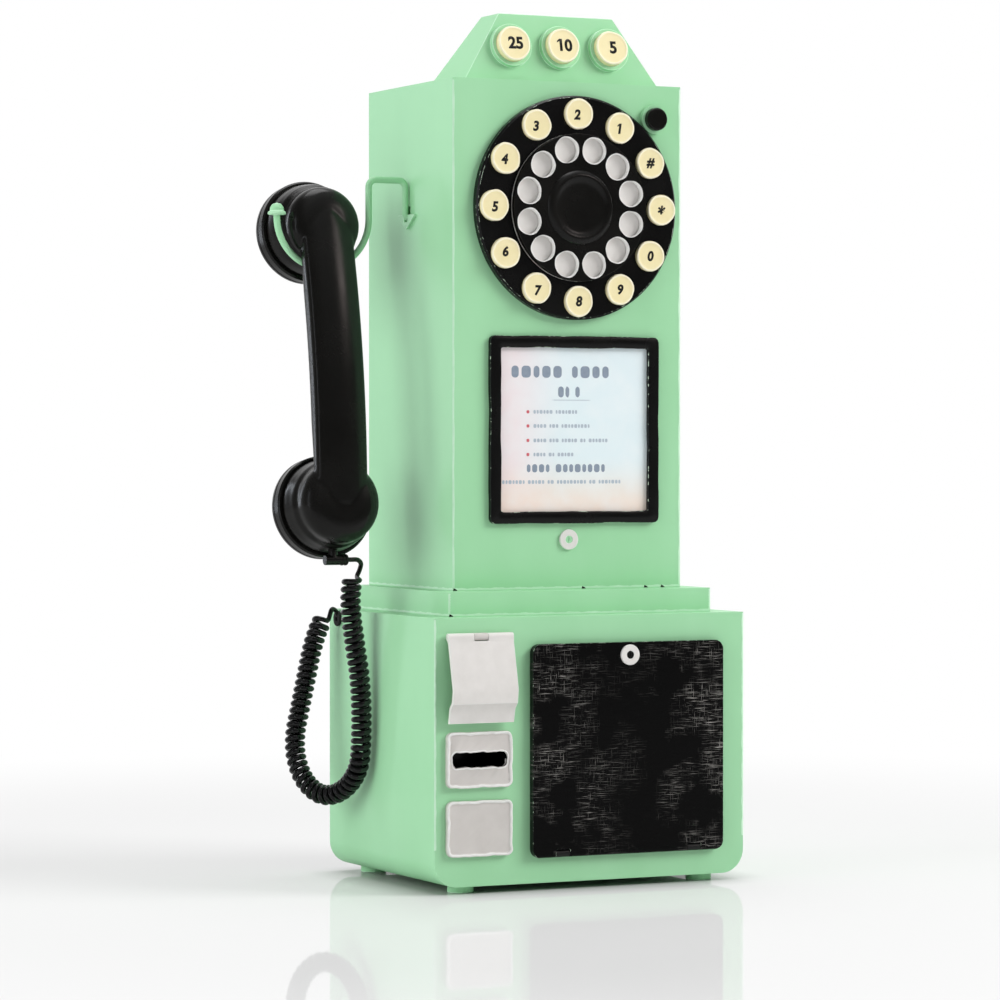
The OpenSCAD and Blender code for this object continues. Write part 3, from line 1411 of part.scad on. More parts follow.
// Builds the cord's tube: a straight lead, the curls and a second lead
module curly_cord() {
    fine = 10;
    count = (len(cord_route) - 1) * fine;
    steps = [for (i = [0:count - 1]) norm(route_at((i + 1) / fine) - route_at(i / fine))];
    sums = running_sum(steps);
    route_len = sums[count];
    u_of = [for (i = [0:count]) [sums[i], i / fine]];
    coil_end = route_len - coil_end_room;
    pitch = (coil_end - coil_start) / curls;
    point_at = function(s) route_at(lookup(min(max(s, 0), route_len), u_of));
    tangent_at = function(s) unit(point_at(s + 0.2) - point_at(s - 0.2));
    radius_at = function(s)
        curl_r * smooth((s - coil_start) / coil_ramp) * smooth((coil_end - s) / coil_ramp);
    wire_at = function(s)
        let (t = tangent_at(s), n = unit(plane_ref - (plane_ref * t) * t), b = cross(t, n))
        let (a = 360 * (s - coil_start) / pitch)
        point_at(s) + radius_at(s) * (cos(a) * n + sin(a) * b);
    end_steps = floor(coil_end_room / lead_step);
    stops = concat(
        [for (i = [0:floor(coil_start / lead_step) - 1]) i * lead_step],
        [for (i = [0:curls * curl_rings]) coil_start + i * pitch / curl_rings],
        [for (i = [1:end_steps]) coil_end + i * coil_end_room / end_steps]
    );
    centres = [for (s = stops) wire_at(s)];
    n = len(centres);
    forward = [for (i = [0:n - 1]) unit(centres[min(i + 1, n - 1)] - centres[max(i - 1, 0)])];
    points = [for (i = [0:n - 1])
        let (u = unit(cross(forward[i], [0.2, 0.9, 0.4])), v = cross(forward[i], u))
        for (k = [0:cord_sides - 1])
            centres[i] + cord_dia / 2 * (cos(360 * k / cord_sides) * u + sin(360 * k / cord_sides) * v)];
    walls = [for (i = [0:n - 2], k = [0:cord_sides - 1])
        let (a = i * cord_sides + k, b = i * cord_sides + (k + 1) % cord_sides)
        each [[a, a + cord_sides, b], [b, a + cord_sides, b + cord_sides]]];
    caps = [for (k = [1:cord_sides - 2])
        each [[0, k, k + 1],
            [(n - 1) * cord_sides, (n - 1) * cord_sides + k + 1, (n - 1) * cord_sides + k]]];
    gaps = [for (i = [0:n - 7], j = [i + 6:n - 1]) norm(centres[i] - centres[j])];
    wire_len = running_sum([for (i = [0:n - 2]) norm(centres[i + 1] - centres[i])])[n - 1];
    echo(str("cord: least gap to itself ", min(gaps) - cord_dia, " mm, wire length ", wire_len, " mm"));
    polyhedron(points = points, faces = concat(walls, caps));
}

module handset_cord() {
    color("#161616") curly_cord();
}

feet();
base_housing();
step_plinth();
upper_housing();
crown_hood();
back_panel();
case_screws();
dial_plate();
finger_plate();
wheel_spindle();
key_mat();
keypad_board();
dial_screws();
card_frame();
instruction_card();
upper_lock_body();
coin_return_cup();
hinge_knuckles();
coin_slot_plate();
coin_chute();
blank_plate();
hook_socket();
hook_switch();
ringer_gongs();
ringer_frame();
line_jack();
coin_box();
cord_grommet();
handset_cord();
return_springs();
finger_wheel();
wheel_hub();
key(0);  // key_star
key(1);  // key_hash
key(2);  // key_1
key(3);  // key_2
key(4);  // key_3
key(5);  // key_4
key(6);  // key_5
key(7);  // key_6
key(8);  // key_7
key(9);  // key_8
key(10);  // key_9
key(11);  // key_0
coin_button(0);  // coin_button_25
coin_button(1);  // coin_button_10
coin_button(2);  // coin_button_5
release_button();
upper_lock_plug();
vault_door();
vault_lock_body();
vault_lock_plug();
coin_return_flap();
hook_wire();
clapper();
handset_handle();
earpiece_cap();
mouthpiece_cap();
handset_capsules();
handset_boot();
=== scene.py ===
# %% [markdown]
# # A coin telephone with push keys, a finger wheel and a handset on a wire hook
# A tall cabinet of folded sheet steel with mint enamel. Its solids come from a CAD
# model, and its parts move: keys press, doors swing, the handset lifts. Hard sheet and
# turned parts keep their solids and get a finish. Wound, soft and hand-finished parts
# are made again in mesh code. The frame is loaded first, so that each new piece can be
# placed in millimetres where the model has a seat for it.

# %% Load the frame
from math import asin, cos, pi, radians, sin, sqrt, tau

import bmesh
import bpy
from mathutils import Matrix, Vector


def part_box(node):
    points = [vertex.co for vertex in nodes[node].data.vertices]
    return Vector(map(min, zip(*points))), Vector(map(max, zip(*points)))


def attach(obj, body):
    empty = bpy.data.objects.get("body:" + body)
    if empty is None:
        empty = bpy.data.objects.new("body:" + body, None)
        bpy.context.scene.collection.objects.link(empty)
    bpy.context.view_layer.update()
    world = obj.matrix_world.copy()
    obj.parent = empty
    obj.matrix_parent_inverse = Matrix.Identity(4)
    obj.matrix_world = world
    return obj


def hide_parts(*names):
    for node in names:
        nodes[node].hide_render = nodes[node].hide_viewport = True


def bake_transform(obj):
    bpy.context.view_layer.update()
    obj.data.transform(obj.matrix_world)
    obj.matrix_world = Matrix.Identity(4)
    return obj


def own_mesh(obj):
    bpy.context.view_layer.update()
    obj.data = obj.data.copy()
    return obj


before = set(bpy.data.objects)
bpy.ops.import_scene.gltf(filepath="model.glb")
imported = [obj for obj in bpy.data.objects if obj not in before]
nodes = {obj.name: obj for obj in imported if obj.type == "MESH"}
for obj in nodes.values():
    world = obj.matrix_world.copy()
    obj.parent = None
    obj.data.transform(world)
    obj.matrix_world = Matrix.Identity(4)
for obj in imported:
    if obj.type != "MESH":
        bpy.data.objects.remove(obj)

scene = bpy.context.scene
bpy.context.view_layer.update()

# %% [markdown]
# ## The camera
# A long lens stands to the left of the telephone, level with its middle. A short lens
# could stand nearer, but a long one keeps the cabinet's upright edges parallel.

# %% An object in the scene
def placed(name, data):
    """A new object that holds this mesh, camera, lamp or text."""
    thing = bpy.data.objects.new(name, data)
    scene.collection.objects.link(thing)
    return thing


# %% Place the camera
camera_data = bpy.data.cameras.new("long_lens")
camera_data.lens = 140.98
camera_data.sensor_width = 36
camera_data.clip_end = 20
camera = placed("camera", camera_data)
camera.location = (-0.9649, -1.9273, 0.2381)
camera.rotation_euler = (radians(90 - 0.836), 0, radians(-26.09))
scene.camera = camera
scene.view_settings.view_transform = "Standard"

# %% [markdown]
# ## Mesh helpers
# Every new piece is worked out as points and faces. Its place is in its mesh and not in
# the object, so that a piece's own coordinates are the telephone's and a pattern keeps
# its size in millimetres. Most pieces are rings of points, so one helper joins rings.


# %% Points in millimetres to a mesh object
def new_piece(name, points, faces):
    """A smooth mesh object made from points in millimetres."""
    mesh = bpy.data.meshes.new(name)
    mesh.from_pydata([Vector(p) / 1000 for p in points], [], faces)
    work = bmesh.new()
    work.from_mesh(mesh)
    bmesh.ops.recalc_face_normals(work, faces=work.faces)
    work.to_mesh(mesh)
    work.free()
    mesh.shade_smooth()
    return placed(name, mesh)


# %% Faces between rings of points
def wall(bands, count, start=0):
    """Joins rings of count points each, so many bands high, from the point start."""
    faces = []
    for level in range(bands):
        low = start + level * count
        for k in range(count):
            a, b = low + k, low + (k + 1) % count
            faces.append((a, b, b + count, a + count))
    return faces


# %% A round wire along a row of points
def tube(name, centres, radius, sides=12):
    """A wire with closed ends; its section turns as little as it can. The radius is
    one number in mm or a list with one for each centre."""
    points = []
    last = len(centres) - 1
    radii = radius if isinstance(radius, list) else [radius] * (last + 1)
    side = (centres[1] - centres[0]).orthogonal()
    for i, centre in enumerate(centres):
        forward = (centres[min(i + 1, last)] - centres[max(i - 1, 0)]).normalized()
        side = (side - forward * side.dot(forward)).normalized()
        other = forward.cross(side)
        for k in range(sides):
            turn = tau * k / sides
            points.append(centre + radii[i] * (cos(turn) * side + sin(turn) * other))
    ends = [tuple(range(sides)), tuple(range(last * sides, (last + 1) * sides))]
    return new_piece(name, points, wall(last, sides) + ends)


# %% [markdown]
# ## The curly cord
# A handset cord is a PVC-covered lead that was wound on a rod and heated, so it keeps
# the form of a spring. An array of turns along a curve would bunch at bends, so the
# wire circles a middle line by the distance gone, evenly. A straight lead joins each
# end, from the handset's boot and over into the grommet at the rear of the side.

# %% The coil's middle line and the two leads
coil_route = [Vector(p) for p in [
    (-107.6, 4.5, 165), (-108.3, 5, 158), (-108.4, 5, 150.2), (-107.6, 5.5, 142.5),
    (-106.1, 6, 134), (-104.8, 6, 125), (-102.8, 6, 112), (-101.5, 6.5, 95),
    (-101, 8, 76), (-101, 11.5, 62.5), (-103, 19.5, 52.5), (-107.5, 29, 46.5),
    (-113, 38, 46.5), (-118, 46, 53.5), (-120.5, 51.5, 65), (-120, 54, 78),
    (-117, 54.5, 92), (-112.7, 55, 110.7), (-109.6, 55, 124.5), (-106, 55.5, 134.5),
    (-103, 55.8, 140.5)]]
boot_lead = [Vector(p) for p in [
    (-116, 2, 175.2), (-110, 2, 175.2), (-105.3, 2.8, 175), (-102.3, 5.2, 172.8),
    (-101.9, 8, 169.2), (-102.8, 9, 166.2)]]
grommet_lead = [Vector(p) for p in [
    (-98.6, 53.2, 146), (-95.4, 55, 145.4), (-93.4, 56, 142.6), (-90.5, 56, 141),
    (-86, 56, 141)]]
lead_across = 2.6
wire_across = 3.3
curl_radius = 4.05
curls = 61.75
rings_per_curl = 16


def smooth_point(route, u):
    """A smooth curve through a route's points; u counts points."""
    last = len(route) - 1
    i = min(int(u), last - 1)
    t = u - i
    b, c = route[i], route[i + 1]
    a = route[i - 1] if i > 0 else 2 * b - c
    d = route[i + 2] if i < last - 1 else 2 * c - b
    return 0.5 * (2 * b + (c - a) * t + (2 * a - 5 * b + 4 * c - d) * t ** 2
                  + (3 * b - a - 3 * c + d) * t ** 3)


fine = [smooth_point(coil_route, i / 10) for i in range(10 * (len(coil_route) - 1) + 1)]
gone = [0.0]
for before, after in zip(fine, fine[1:]):
    gone.append(gone[-1] + (after - before).length)
print("coil's middle line in mm:", round(gone[-1], 1))


# %% Wind the wire round the middle line
def along(q):
    """The middle line's point at the distance q from its start."""
    q = min(max(q, 0), gone[-1])
    low = next((i for i in range(len(gone) - 1) if gone[i + 1] >= q), len(gone) - 2)
    share = (q - gone[low]) / (gone[low + 1] - gone[low])
    return fine[low].lerp(fine[low + 1], share)


def eased(t):
    """0 to 1 with a soft start and end."""
    t = min(max(t, 0), 1)
    return t * t * (3 - 2 * t)


def wire_point(q):
    """The wire's centre beside the middle line's point at q."""
    forward = (along(q + 0.2) - along(q - 0.2)).normalized()
    reference = Vector((0.93, 0.36, 0))
    side = (reference - forward * reference.dot(forward)).normalized()
    other = forward.cross(side)
    turn = tau * curls * q / gone[-1]
    return along(q) + curl_radius * (cos(turn) * side + sin(turn) * other)


rings = round(curls * rings_per_curl)
coil = [wire_point(gone[-1] * i / rings) for i in range(rings + 1)]
first = boot_lead + [coil[0], coil[3]]
last = [coil[-4], coil[-1]] + grommet_lead
wire = [smooth_point(first, i / 6) for i in range(6 * len(boot_lead))] + coil
wire += [smooth_point(last, i / 6) for i in range(7, 6 * (len(last) - 1) + 1)]
lead_in, lead_out = 6 * len(boot_lead), len(wire) - 6 * len(grommet_lead)
radii = [(lead_across + (wire_across - lead_across) * min(eased((i - lead_in) / 12),
                                                          eased((lead_out - i) / 12))) / 2
         for i in range(len(wire))]
handset_cord = tube("curly_cord", wire, radii)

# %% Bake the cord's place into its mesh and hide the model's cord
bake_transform(handset_cord)
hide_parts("handset_cord")

# %% [markdown]
# ## Flat rings to solids
# Keys, plates and frames are built up from closed outlines, each above or inside the
# last. A lathe could make the round ones and an extrusion the square ones, but a stack
# of outlines makes both, and each can waver a little, as a brushed paint edge does.


# %% A local plane on the object
def seat(origin, out=(0, -1, 0), up=(0, 0, 1)):
    """Local x is to the right, y is up and z is out of the surface; in mm."""
    out, up = Vector(out).normalized(), Vector(up).normalized()
    matrix = Matrix((up.cross(out), up, out)).transposed().to_4x4()
    matrix.translation = Vector(origin)
    return matrix


# %% Outlines with a steady hand or a loose one
def waver(turn, loose, seed):
    """A slow in and out of an outline, in mm, that closes on itself."""
    waves = ((2, 0.5, 1.7), (3, 0.45, 0.6), (5, 0.35, 2.9), (8, 0.2, 4.1))
    return loose * sum(share * sin(count * turn + phase * (seed + 1))
                       for count, share, phase in waves)


def circle(radius, count, loose=0.0, seed=0):
    """Points of a circle, anticlockwise from the right."""
    points = []
    for i in range(count):
        turn = tau * i / count
        reach = radius + waver(turn, loose, seed)
        points.append((reach * cos(turn), reach * sin(turn)))
    return points


def rounded(width, height, corner, count, loose=0.0, seed=0):
    """Points of a rounded rectangle, spread evenly round its edge."""
    corner = max(corner, 0.05)
    w, h = width / 2 - corner, height / 2 - corner
    bend = corner * pi / 2
    runs = [2 * h, bend, 2 * w, bend, 2 * h, bend, 2 * w, bend]
    start = [(w + corner, -h), (w, h, 0), (w, h + corner), (-w, h, 90),
             (-w - corner, h), (-w, -h, 180), (-w, -h - corner), (w, -h, 270)]
    way = [(0, 1), None, (-1, 0), None, (0, -1), None, (1, 0), None]
    total = sum(runs)
    points = []
    for i in range(count):
        left, run = total * i / count, 0
        while left > runs[run]:
            left -= runs[run]
            run += 1
        if way[run]:
            x, y = start[run][0] + way[run][0] * left, start[run][1] + way[run][1] * left
            across = (-way[run][1], way[run][0])
            normal = (-across[0], -across[1])
        else:
            angle = radians(start[run][2]) + left / corner
            normal = (cos(angle), sin(angle))
            x, y = start[run][0] + corner * normal[0], start[run][1] + corner * normal[1]
        out = waver(tau * i / count * 3, loose, seed)
        points.append((x + out * normal[0], y + out * normal[1]))
    return points


# %% Stack the outlines
def stack(name, rings, place, close_first=True, close_last=True, second=()):
    """Joins outlines of equal count; each is (outline points, height in mm). The bands
    whose numbers are in second take the second material."""
    count = len(rings[0][0])
    points = [place @ Vector((x, y, height)) for outline, height in rings for x, y in outline]
    faces = wall(len(rings) - 1, count)
    if close_first:
        faces.append(tuple(range(count)))
    if close_last:
        faces.append(tuple(range(len(points) - count, len(points))))
    piece = new_piece(name, points, faces)
    for level in second:
        for face in piece.data.polygons[level * count:(level + 1) * count]:
            face.material_index = 1
    return piece


# %% [markdown]
# ## Eased edges
# Folded sheet, moulded plastic and turned metal have no knife edges: a thin band along
# each edge catches the light. The solids come without it, in triangles. Decimate joins
# the flat triangles, Bevel rounds what is left, and Weighted Normal keeps the broad
# faces flat in shade. The bevel takes the second material: chipped paint on the black
# door and dial plate, a paler colour on the silver parts and the black lock plug, and
# a paler mint on the mint parts, which is a painted highlight.


# %% Ease the edges of a piece
def ease(piece, width):
    """Rounds a piece's sharp edges by width in mm, in its second material."""
    mesh = piece.data
    mesh.shade_smooth()
    if "custom_normal" in mesh.attributes:
        mesh.attributes.remove(mesh.attributes["custom_normal"])
    weld = piece.modifiers.new("weld", "WELD")
    weld.merge_threshold = 2e-6
    flat = piece.modifiers.new("flat", "DECIMATE")
    flat.decimate_type = "DISSOLVE"
    flat.angle_limit = radians(1)
    bevel = piece.modifiers.new("bevel", "BEVEL")
    bevel.limit_method = "ANGLE"
    bevel.angle_limit = radians(32)
    bevel.width = width / 1000
    bevel.segments = 2
    bevel.miter_outer = "MITER_ARC"
    bevel.material = 1
    shade = piece.modifiers.new("shade", "WEIGHTED_NORMAL")
    shade.keep_sharp = True


# %% [markdown]
# ## Materials
# A base colour that drifts a little, a roughness that is not quite even and a fine bump
# feed the Principled shader. Coordinates are the object's own, in metres, so a pattern
# 2 mm wide has a scale of 1000 / 2.


# %% Colours and nodes
def shade_of(hex_colour):
    """An sRGB hex colour as linear red, green, blue and alpha."""
    parts = [int(hex_colour[i:i + 2], 16) / 255 for i in (0, 2, 4)]
    linear = [c / 12.92 if c <= 0.04045 else ((c + 0.055) / 1.055) ** 2.4 for c in parts]
    return (*linear, 1.0)


def add(tree, kind, inputs=None, **settings):
    """Adds one shader node. An input is a value or a hex colour, or what to link from: a
    socket, or a node, whose first socket in use is taken."""
    node = tree.nodes.new("ShaderNode" + kind)
    for name, value in settings.items():
        setattr(node, name, value)
    for name, value in (inputs or {}).items():
        if isinstance(value, bpy.types.Node):
            value = next(socket for socket in value.outputs if socket.enabled)
        elif isinstance(value, str):
            value = shade_of(value)
        if isinstance(value, bpy.types.NodeSocket):
            tree.links.new(value, node.inputs[name])
        else:
            node.inputs[name].default_value = value
    return node


def per_mm(size):
    """The scale of a pattern whose features are this many millimetres wide."""
    return 1000 / size


def empty_material(name):
    """A new material, its tree without nodes, and the object's own coordinates."""
    material = bpy.data.materials.new(name)
    material.use_nodes = True
    material.node_tree.nodes.clear()
    return material, material.node_tree, add(material.node_tree, "TexCoord").outputs["Object"]


# %% A drifting surface, for all painted and moulded parts
def surface(name, low, high, patch, roughness, grain, depth, stretch=(1, 1, 1), **shader):
    """Colour drifts between two hex colours in patches of so many mm; the bump is
    grain mm wide and depth mm deep; roughness is its (least, most). Most paints and
    plastics have the shader's own IOR of 1.5."""
    material, tree, where = empty_material(name)
    spread = add(tree, "Mapping", {"Vector": where, "Scale": stretch})
    drift = add(tree, "TexNoise", {"Vector": spread, "Scale": per_mm(patch), "Detail": 4.0})
    colour = add(tree, "Mix", {0: drift, 6: low, 7: high}, data_type="RGBA")
    gloss = add(tree, "MapRange", {"Value": drift, "From Min": 0.3, "From Max": 0.7,
                                   "To Min": roughness[0], "To Max": roughness[1]})
    pores = add(tree, "TexNoise", {"Vector": where, "Scale": per_mm(grain), "Detail": 3.0})
    bump = add(tree, "Bump", {"Height": pores, "Strength": 0.6, "Distance": depth / 1000})
    inputs = {"Base Color": colour, "Roughness": gloss, "Normal": bump}
    inputs.update({key.replace("_", " "): value for key, value in shader.items()})
    add(tree, "OutputMaterial", {"Surface": add(tree, "BsdfPrincipled", inputs)})
    return material


# %% [markdown]
# ### Enamel on sheet steel
# Alkyd enamel, sprayed: mid gloss, with a very fine orange peel. The eye gets a soft
# broad highlight and slow cloudy drifts of tone. Along folds and edges a paler mint is
# painted on as a highlight.

# %% Mint, black and grey enamel
mint_enamel = surface("mint_enamel", "97d3a1", "a7deb1", 38, (0.36, 0.46), 1.1, 0.012,
                      stretch=(1, 1, 0.35))
# A paler mint for the bevels and folds: a painted highlight
mint_painted_highlight = surface("mint_painted_highlight", "b6e6c0", "d6f4dc", 6, (0.3, 0.4), 1.1, 0.008)
black_enamel = surface("black_enamel", "050505", "0c0c0c", 20, (0.2, 0.3), 1.4, 0.012,
                       Specular_IOR_Level=0.32)
black_enamel_edge = surface("black_enamel_edge", "121213", "3a3a38", 5, (0.35, 0.5), 1.4,
                            0.012, Specular_IOR_Level=0.35)
chipped_edge = surface("chipped_edge", "0b0b0b", "16181a", 3, (0.4, 0.55), 0.9, 0.03,
                       Specular_IOR_Level=0.35)
grey_enamel = surface("grey_enamel", "7b7f7e", "888c8a", 25, (0.45, 0.6), 1.2, 0.012)

# %% Slow dents in the sheet, and chips along the black edges
tree = mint_enamel.node_tree
dents = add(tree, "TexNoise", {"Vector": tree.nodes["Mapping"], "Scale": per_mm(26),
                               "Detail": 1.5})
dent_bump = add(tree, "Bump", {"Height": dents, "Distance": 0.0003})
tree.links.new(dent_bump.outputs["Normal"], tree.nodes["Bump"].inputs["Normal"])

tree = chipped_edge.node_tree
where = tree.nodes["Texture Coordinate"].outputs["Object"]
flakes = add(tree, "TexNoise", {"Vector": where, "Scale": per_mm(2.2), "Detail": 3.0})
chips = add(tree, "MapRange", {"Value": flakes, "From Min": 0.56, "From Max": 0.61})
bare = add(tree, "Mix", {0: chips, 6: tree.nodes["Mix"], 7: "cfe3cd"}, data_type="RGBA")
tree.links.new(bare.outputs[2], tree.nodes["Principled BSDF"].inputs["Base Color"])

# %% Silver paint, plated steel, brass and copper
silver_paint = surface("silver_paint", "cbc6c2", "dcd8d4", 9, (0.45, 0.6), 0.7, 0.02,
                       Metallic=0.15)
silver_paint_edge = surface("silver_paint_edge", "dfdedb", "f6f6f4", 3, (0.4, 0.5), 0.7,
                            0.02, Metallic=0.1)
bright_silver = surface("silver_paint_bright", "dad7d3", "ebe8e5", 7, (0.45, 0.6), 0.7, 0.03,
                        Metallic=0.1)
zinc_plate = surface("zinc_plate", "b3b5b6", "c9cbcc", 12, (0.28, 0.42), 0.6, 0.006,
                     Metallic=1.0)
bell_brass = surface("bell_brass", "b8943f", "cbab5c", 15, (0.18, 0.32), 0.8, 0.004,
                     Metallic=1.0)
copper_wire = surface("copper_wire", "9c4f2c", "b96a3f", 5, (0.25, 0.35), 0.5, 0.003,
                      Metallic=1.0)

# %% Plastics, rubber, board and print
gloss_black = surface("phenolic_black", "070706", "100f0d", 24, (0.2, 0.3), 9.0, 0.03,
                      Specular_IOR_Level=0.35)
cord_black = surface("pvc_black", "060607", "0c0c0d", 10, (0.14, 0.2), 1.6, 0.01)
key_cream = surface("urea_cream", "e9dca8", "f3e8bd", 5, (0.38, 0.5), 1.2, 0.03)
# A paler cream for the keys' raised rims: a painted highlight
cream_painted_highlight = surface("urea_painted_highlight", "f2e9c6", "faf4de", 3, (0.35, 0.45), 1.2, 0.02)
dark_plastic = surface("abs_dark", "1c1d1f", "27282a", 12, (0.4, 0.55), 0.8, 0.02, IOR=1.53)
pale_plastic = surface("abs_pale", "cfcbbd", "dcd8cb", 12, (0.4, 0.5), 0.8, 0.015, IOR=1.53)
black_rubber = surface("rubber_black", "121212", "1c1c1c", 8, (0.6, 0.75), 0.6, 0.03,
                       IOR=1.52)
grey_rubber = surface("rubber_grey", "5a5d5e", "676a6b", 8, (0.6, 0.75), 0.6, 0.03, IOR=1.52)
circuit_board = surface("glass_epoxy", "4d5f33", "5b6f3d", 1.2, (0.35, 0.5), 0.4, 0.01,
                        IOR=1.55)
ink_black = surface("ink_black", "040404", "0e0e0e", 1.5, (0.4, 0.5), 0.5, 0.005)
print_grey, print_pale, print_red = [
    surface("print_" + tone, low, high, 2, (0.5, 0.6), 0.5, 0.002, IOR=1.45)
    for tone, low, high in (("grey", "7c899a", "96a2b1"), ("pale", "a3b0be", "bac5cf"),
                            ("red", "c2515c", "d77079"))]

# %% [markdown]
# ### Card stock
# The card is coated paper behind no glass and has faded unevenly: rosy at its left side,
# a cool white in the middle and warm at its lower edge. An image could carry that; two
# gradients and a cloudy noise mix the tones here, and hold at any size.

# %% Card stock
card_stock, tree, where = empty_material("card_stock")
axes = add(tree, "SeparateXYZ", {"Vector": where})
left_side = add(tree, "MapRange", {"Value": axes.outputs["X"], "From Min": -0.041,
                                   "From Max": 0.0, "To Min": 1.0, "To Max": 0.0},
                interpolation_type="SMOOTHSTEP")
cool = add(tree, "Mix", {0: left_side, 6: "e0eef2", 7: "f1e4e6"}, data_type="RGBA")
lower = add(tree, "MapRange", {"Value": axes.outputs["Z"], "From Min": 0.201,
                               "From Max": 0.232, "To Min": 0.75, "To Max": 0.0},
            interpolation_type="SMOOTHSTEP")
warm = add(tree, "Mix", {0: lower, 6: cool, 7: "f4dcc9"}, data_type="RGBA")
cloud = add(tree, "TexNoise", {"Vector": where, "Scale": per_mm(14), "Detail": 3.0})
faded = add(tree, "MapRange", {"Value": cloud, "From Min": 0.4, "From Max": 0.7,
                               "To Max": 0.35})
aged = add(tree, "Mix", {0: faded, 6: warm, 7: "eef3f4"}, data_type="RGBA")
fibre = add(tree, "TexNoise", {"Vector": where, "Scale": per_mm(0.5)})
tooth = add(tree, "Bump", {"Height": fibre, "Strength": 0.3, "Distance": 0.00001})
sheet = add(tree, "BsdfPrincipled", {"Base Color": aged, "Roughness": 0.42, "Normal": tooth})
add(tree, "OutputMaterial", {"Surface": sheet})

# %% [markdown]
# ### Dry-brushed black
# The vault door's black was rubbed with a nearly dry brush of silver, so that thin
# broken streaks catch on its high spots, most near the two upright sides. They could be
# painted as curves; noise that is stretched some twenty times along the stroke does it
# without any one streak repeating.

# %% Dry-brushed black
brushed_black, tree, where = empty_material("dry_brushed_black")
strokes = []
for long, thin, low_end, high_end in ((9, 0.38, 0.55, 0.7), (0.42, 8, 0.6, 0.76)):
    spread = add(tree, "Mapping", {"Vector": where, "Scale": (
        per_mm(long), per_mm(20), per_mm(thin))})
    lines = add(tree, "TexNoise", {"Vector": spread, "Scale": 1.0, "Detail": 4.0,
                                   "Roughness": 0.7})
    strokes.append(add(tree, "MapRange", {"Value": lines, "From Min": low_end,
                                          "From Max": high_end}))
axes = add(tree, "SeparateXYZ", {"Vector": where})
across = add(tree, "Math", {0: axes.outputs["X"], 1: 0.0205}, operation="SUBTRACT")
reach = add(tree, "Math", {0: across}, operation="ABSOLUTE")
sides = add(tree, "MapRange", {"Value": reach, "From Min": 0.008, "From Max": 0.044,
                               "To Min": 0.2})
patches = add(tree, "TexNoise", {"Vector": where, "Scale": per_mm(22), "Detail": 3.0})
worn_at = add(tree, "MapRange", {"Value": patches, "From Min": 0.45, "From Max": 0.62})
both = add(tree, "Math", {0: strokes[0], 1: strokes[1]}, operation="MAXIMUM")
here = add(tree, "Math", {0: both, 1: sides}, operation="MULTIPLY")
silvered = add(tree, "Math", {0: here, 1: worn_at}, operation="MULTIPLY")
tone = add(tree, "Mix", {0: silvered, 6: "020202", 7: "b4b1ac"}, data_type="RGBA")
ridge = add(tree, "Bump", {"Height": strokes[0], "Strength": 0.4, "Distance": 0.00003})
coat = add(tree, "BsdfPrincipled", {"Base Color": tone, "Roughness": 0.2,
                                    "Specular IOR Level": 0.15, "Normal": ridge})
add(tree, "OutputMaterial", {"Surface": coat})
print("materials so far:", len(bpy.data.materials))


# %% Give solids and new pieces their finish
def dress(names, material, width=0.0, edge=None):
    """Puts a material on the CAD solids of these names, and eases their edges by width
    in mm."""
    for name in names.split():
        piece = nodes[name]
        piece.data.materials.clear()
        piece.data.materials.append(material)
        piece.data.materials.append(edge or material)
        if width:
            ease(piece, width)


def finish(piece, material, body, edge=None):
    """Puts a material on a new piece, and lets it ride on a body."""
    piece.data.materials.append(material)
    if edge:
        piece.data.materials.append(edge)
    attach(piece, body)
    return piece


handset_cord.data.materials.append(cord_black)

# %% [markdown]
# ## The cabinet
# Two folded boxes, a step between them and a hood on top, spot welded and enamelled as
# one. The bevel is too fine to show the pale highlight lines along folds and seams, so
# these are painted as thin strips of paler mint, a twentieth of a millimetre proud.

# %% Dress the sheet metal
# The bevels of the mint parts take the paler mint, a painted highlight along their edges
dress("base_housing step_plinth upper_housing crown_hood", mint_enamel, 0.58, mint_painted_highlight)
dress("hook_socket upper_lock_plug", mint_enamel, 0.25, mint_painted_highlight)
dress("hook_wire", mint_enamel, 0.2, mint_painted_highlight)
dress("feet", mint_enamel, 0.5, mint_painted_highlight)
dress("back_panel", grey_enamel, 0.3)

# %% Painted highlight: a pale line along the seams and folds
upper_front = (-69.0, -40.5)
step_front = (-79.0, -56.5)
base_front = (-93.0, -68.5)
step_top, base_top, back_y = 159.0, 146.0, 68.5
proud = 0.04
points, faces = [], []
for (left_x, front_y), seam_z in ((upper_front, step_top), (step_front, base_top)):
    runs = [((left_x, front_y - proud), (-left_x, front_y - proud)),
            ((left_x - proud, front_y), (left_x - proud, back_y))]
    for (x_from, y_from), (x_to, y_to) in runs:
        for i in range(81):
            x, y = x_from + (x_to - x_from) * i / 80, y_from + (y_to - y_from) * i / 80
            rise = 0.18 * sin(0.9 * i) + 0.12 * sin(2.3 * i)
            points += [(x, y, seam_z + 0.35), (x, y, seam_z + 1.45 + rise)]
            if i:
                n = len(points)
                faces.append((n - 4, n - 2, n - 1, n - 3))
for (left_x, y), z_from, z_to in ((upper_front, 160.5, 431.6), (step_front, 147.5, 158.4),
                                  (base_front, 24.0, 145.4)):
    for side in (-1, 1):
        for i in range(61):
            z = z_from + (z_to - z_from) * i / 60
            wide = 0.95 + 0.16 * sin(0.8 * i) + 0.1 * sin(2.1 * i)
            points += [(side * (-left_x - wide), y - 0.05, z),
                       (side * (-left_x + 0.03), y - 0.05, z),
                       (side * (-left_x + 0.05), y + 0.35, z)]
            if i:
                n = len(points)
                faces += [(n - 6, n - 5, n - 2, n - 3)[::-side],
                          (n - 5, n - 4, n - 1, n - 2)[::-side]]
seam_highlight_strips = new_piece("seam_highlight_strips", points, faces)
finish(seam_highlight_strips, mint_painted_highlight, "cabinet")
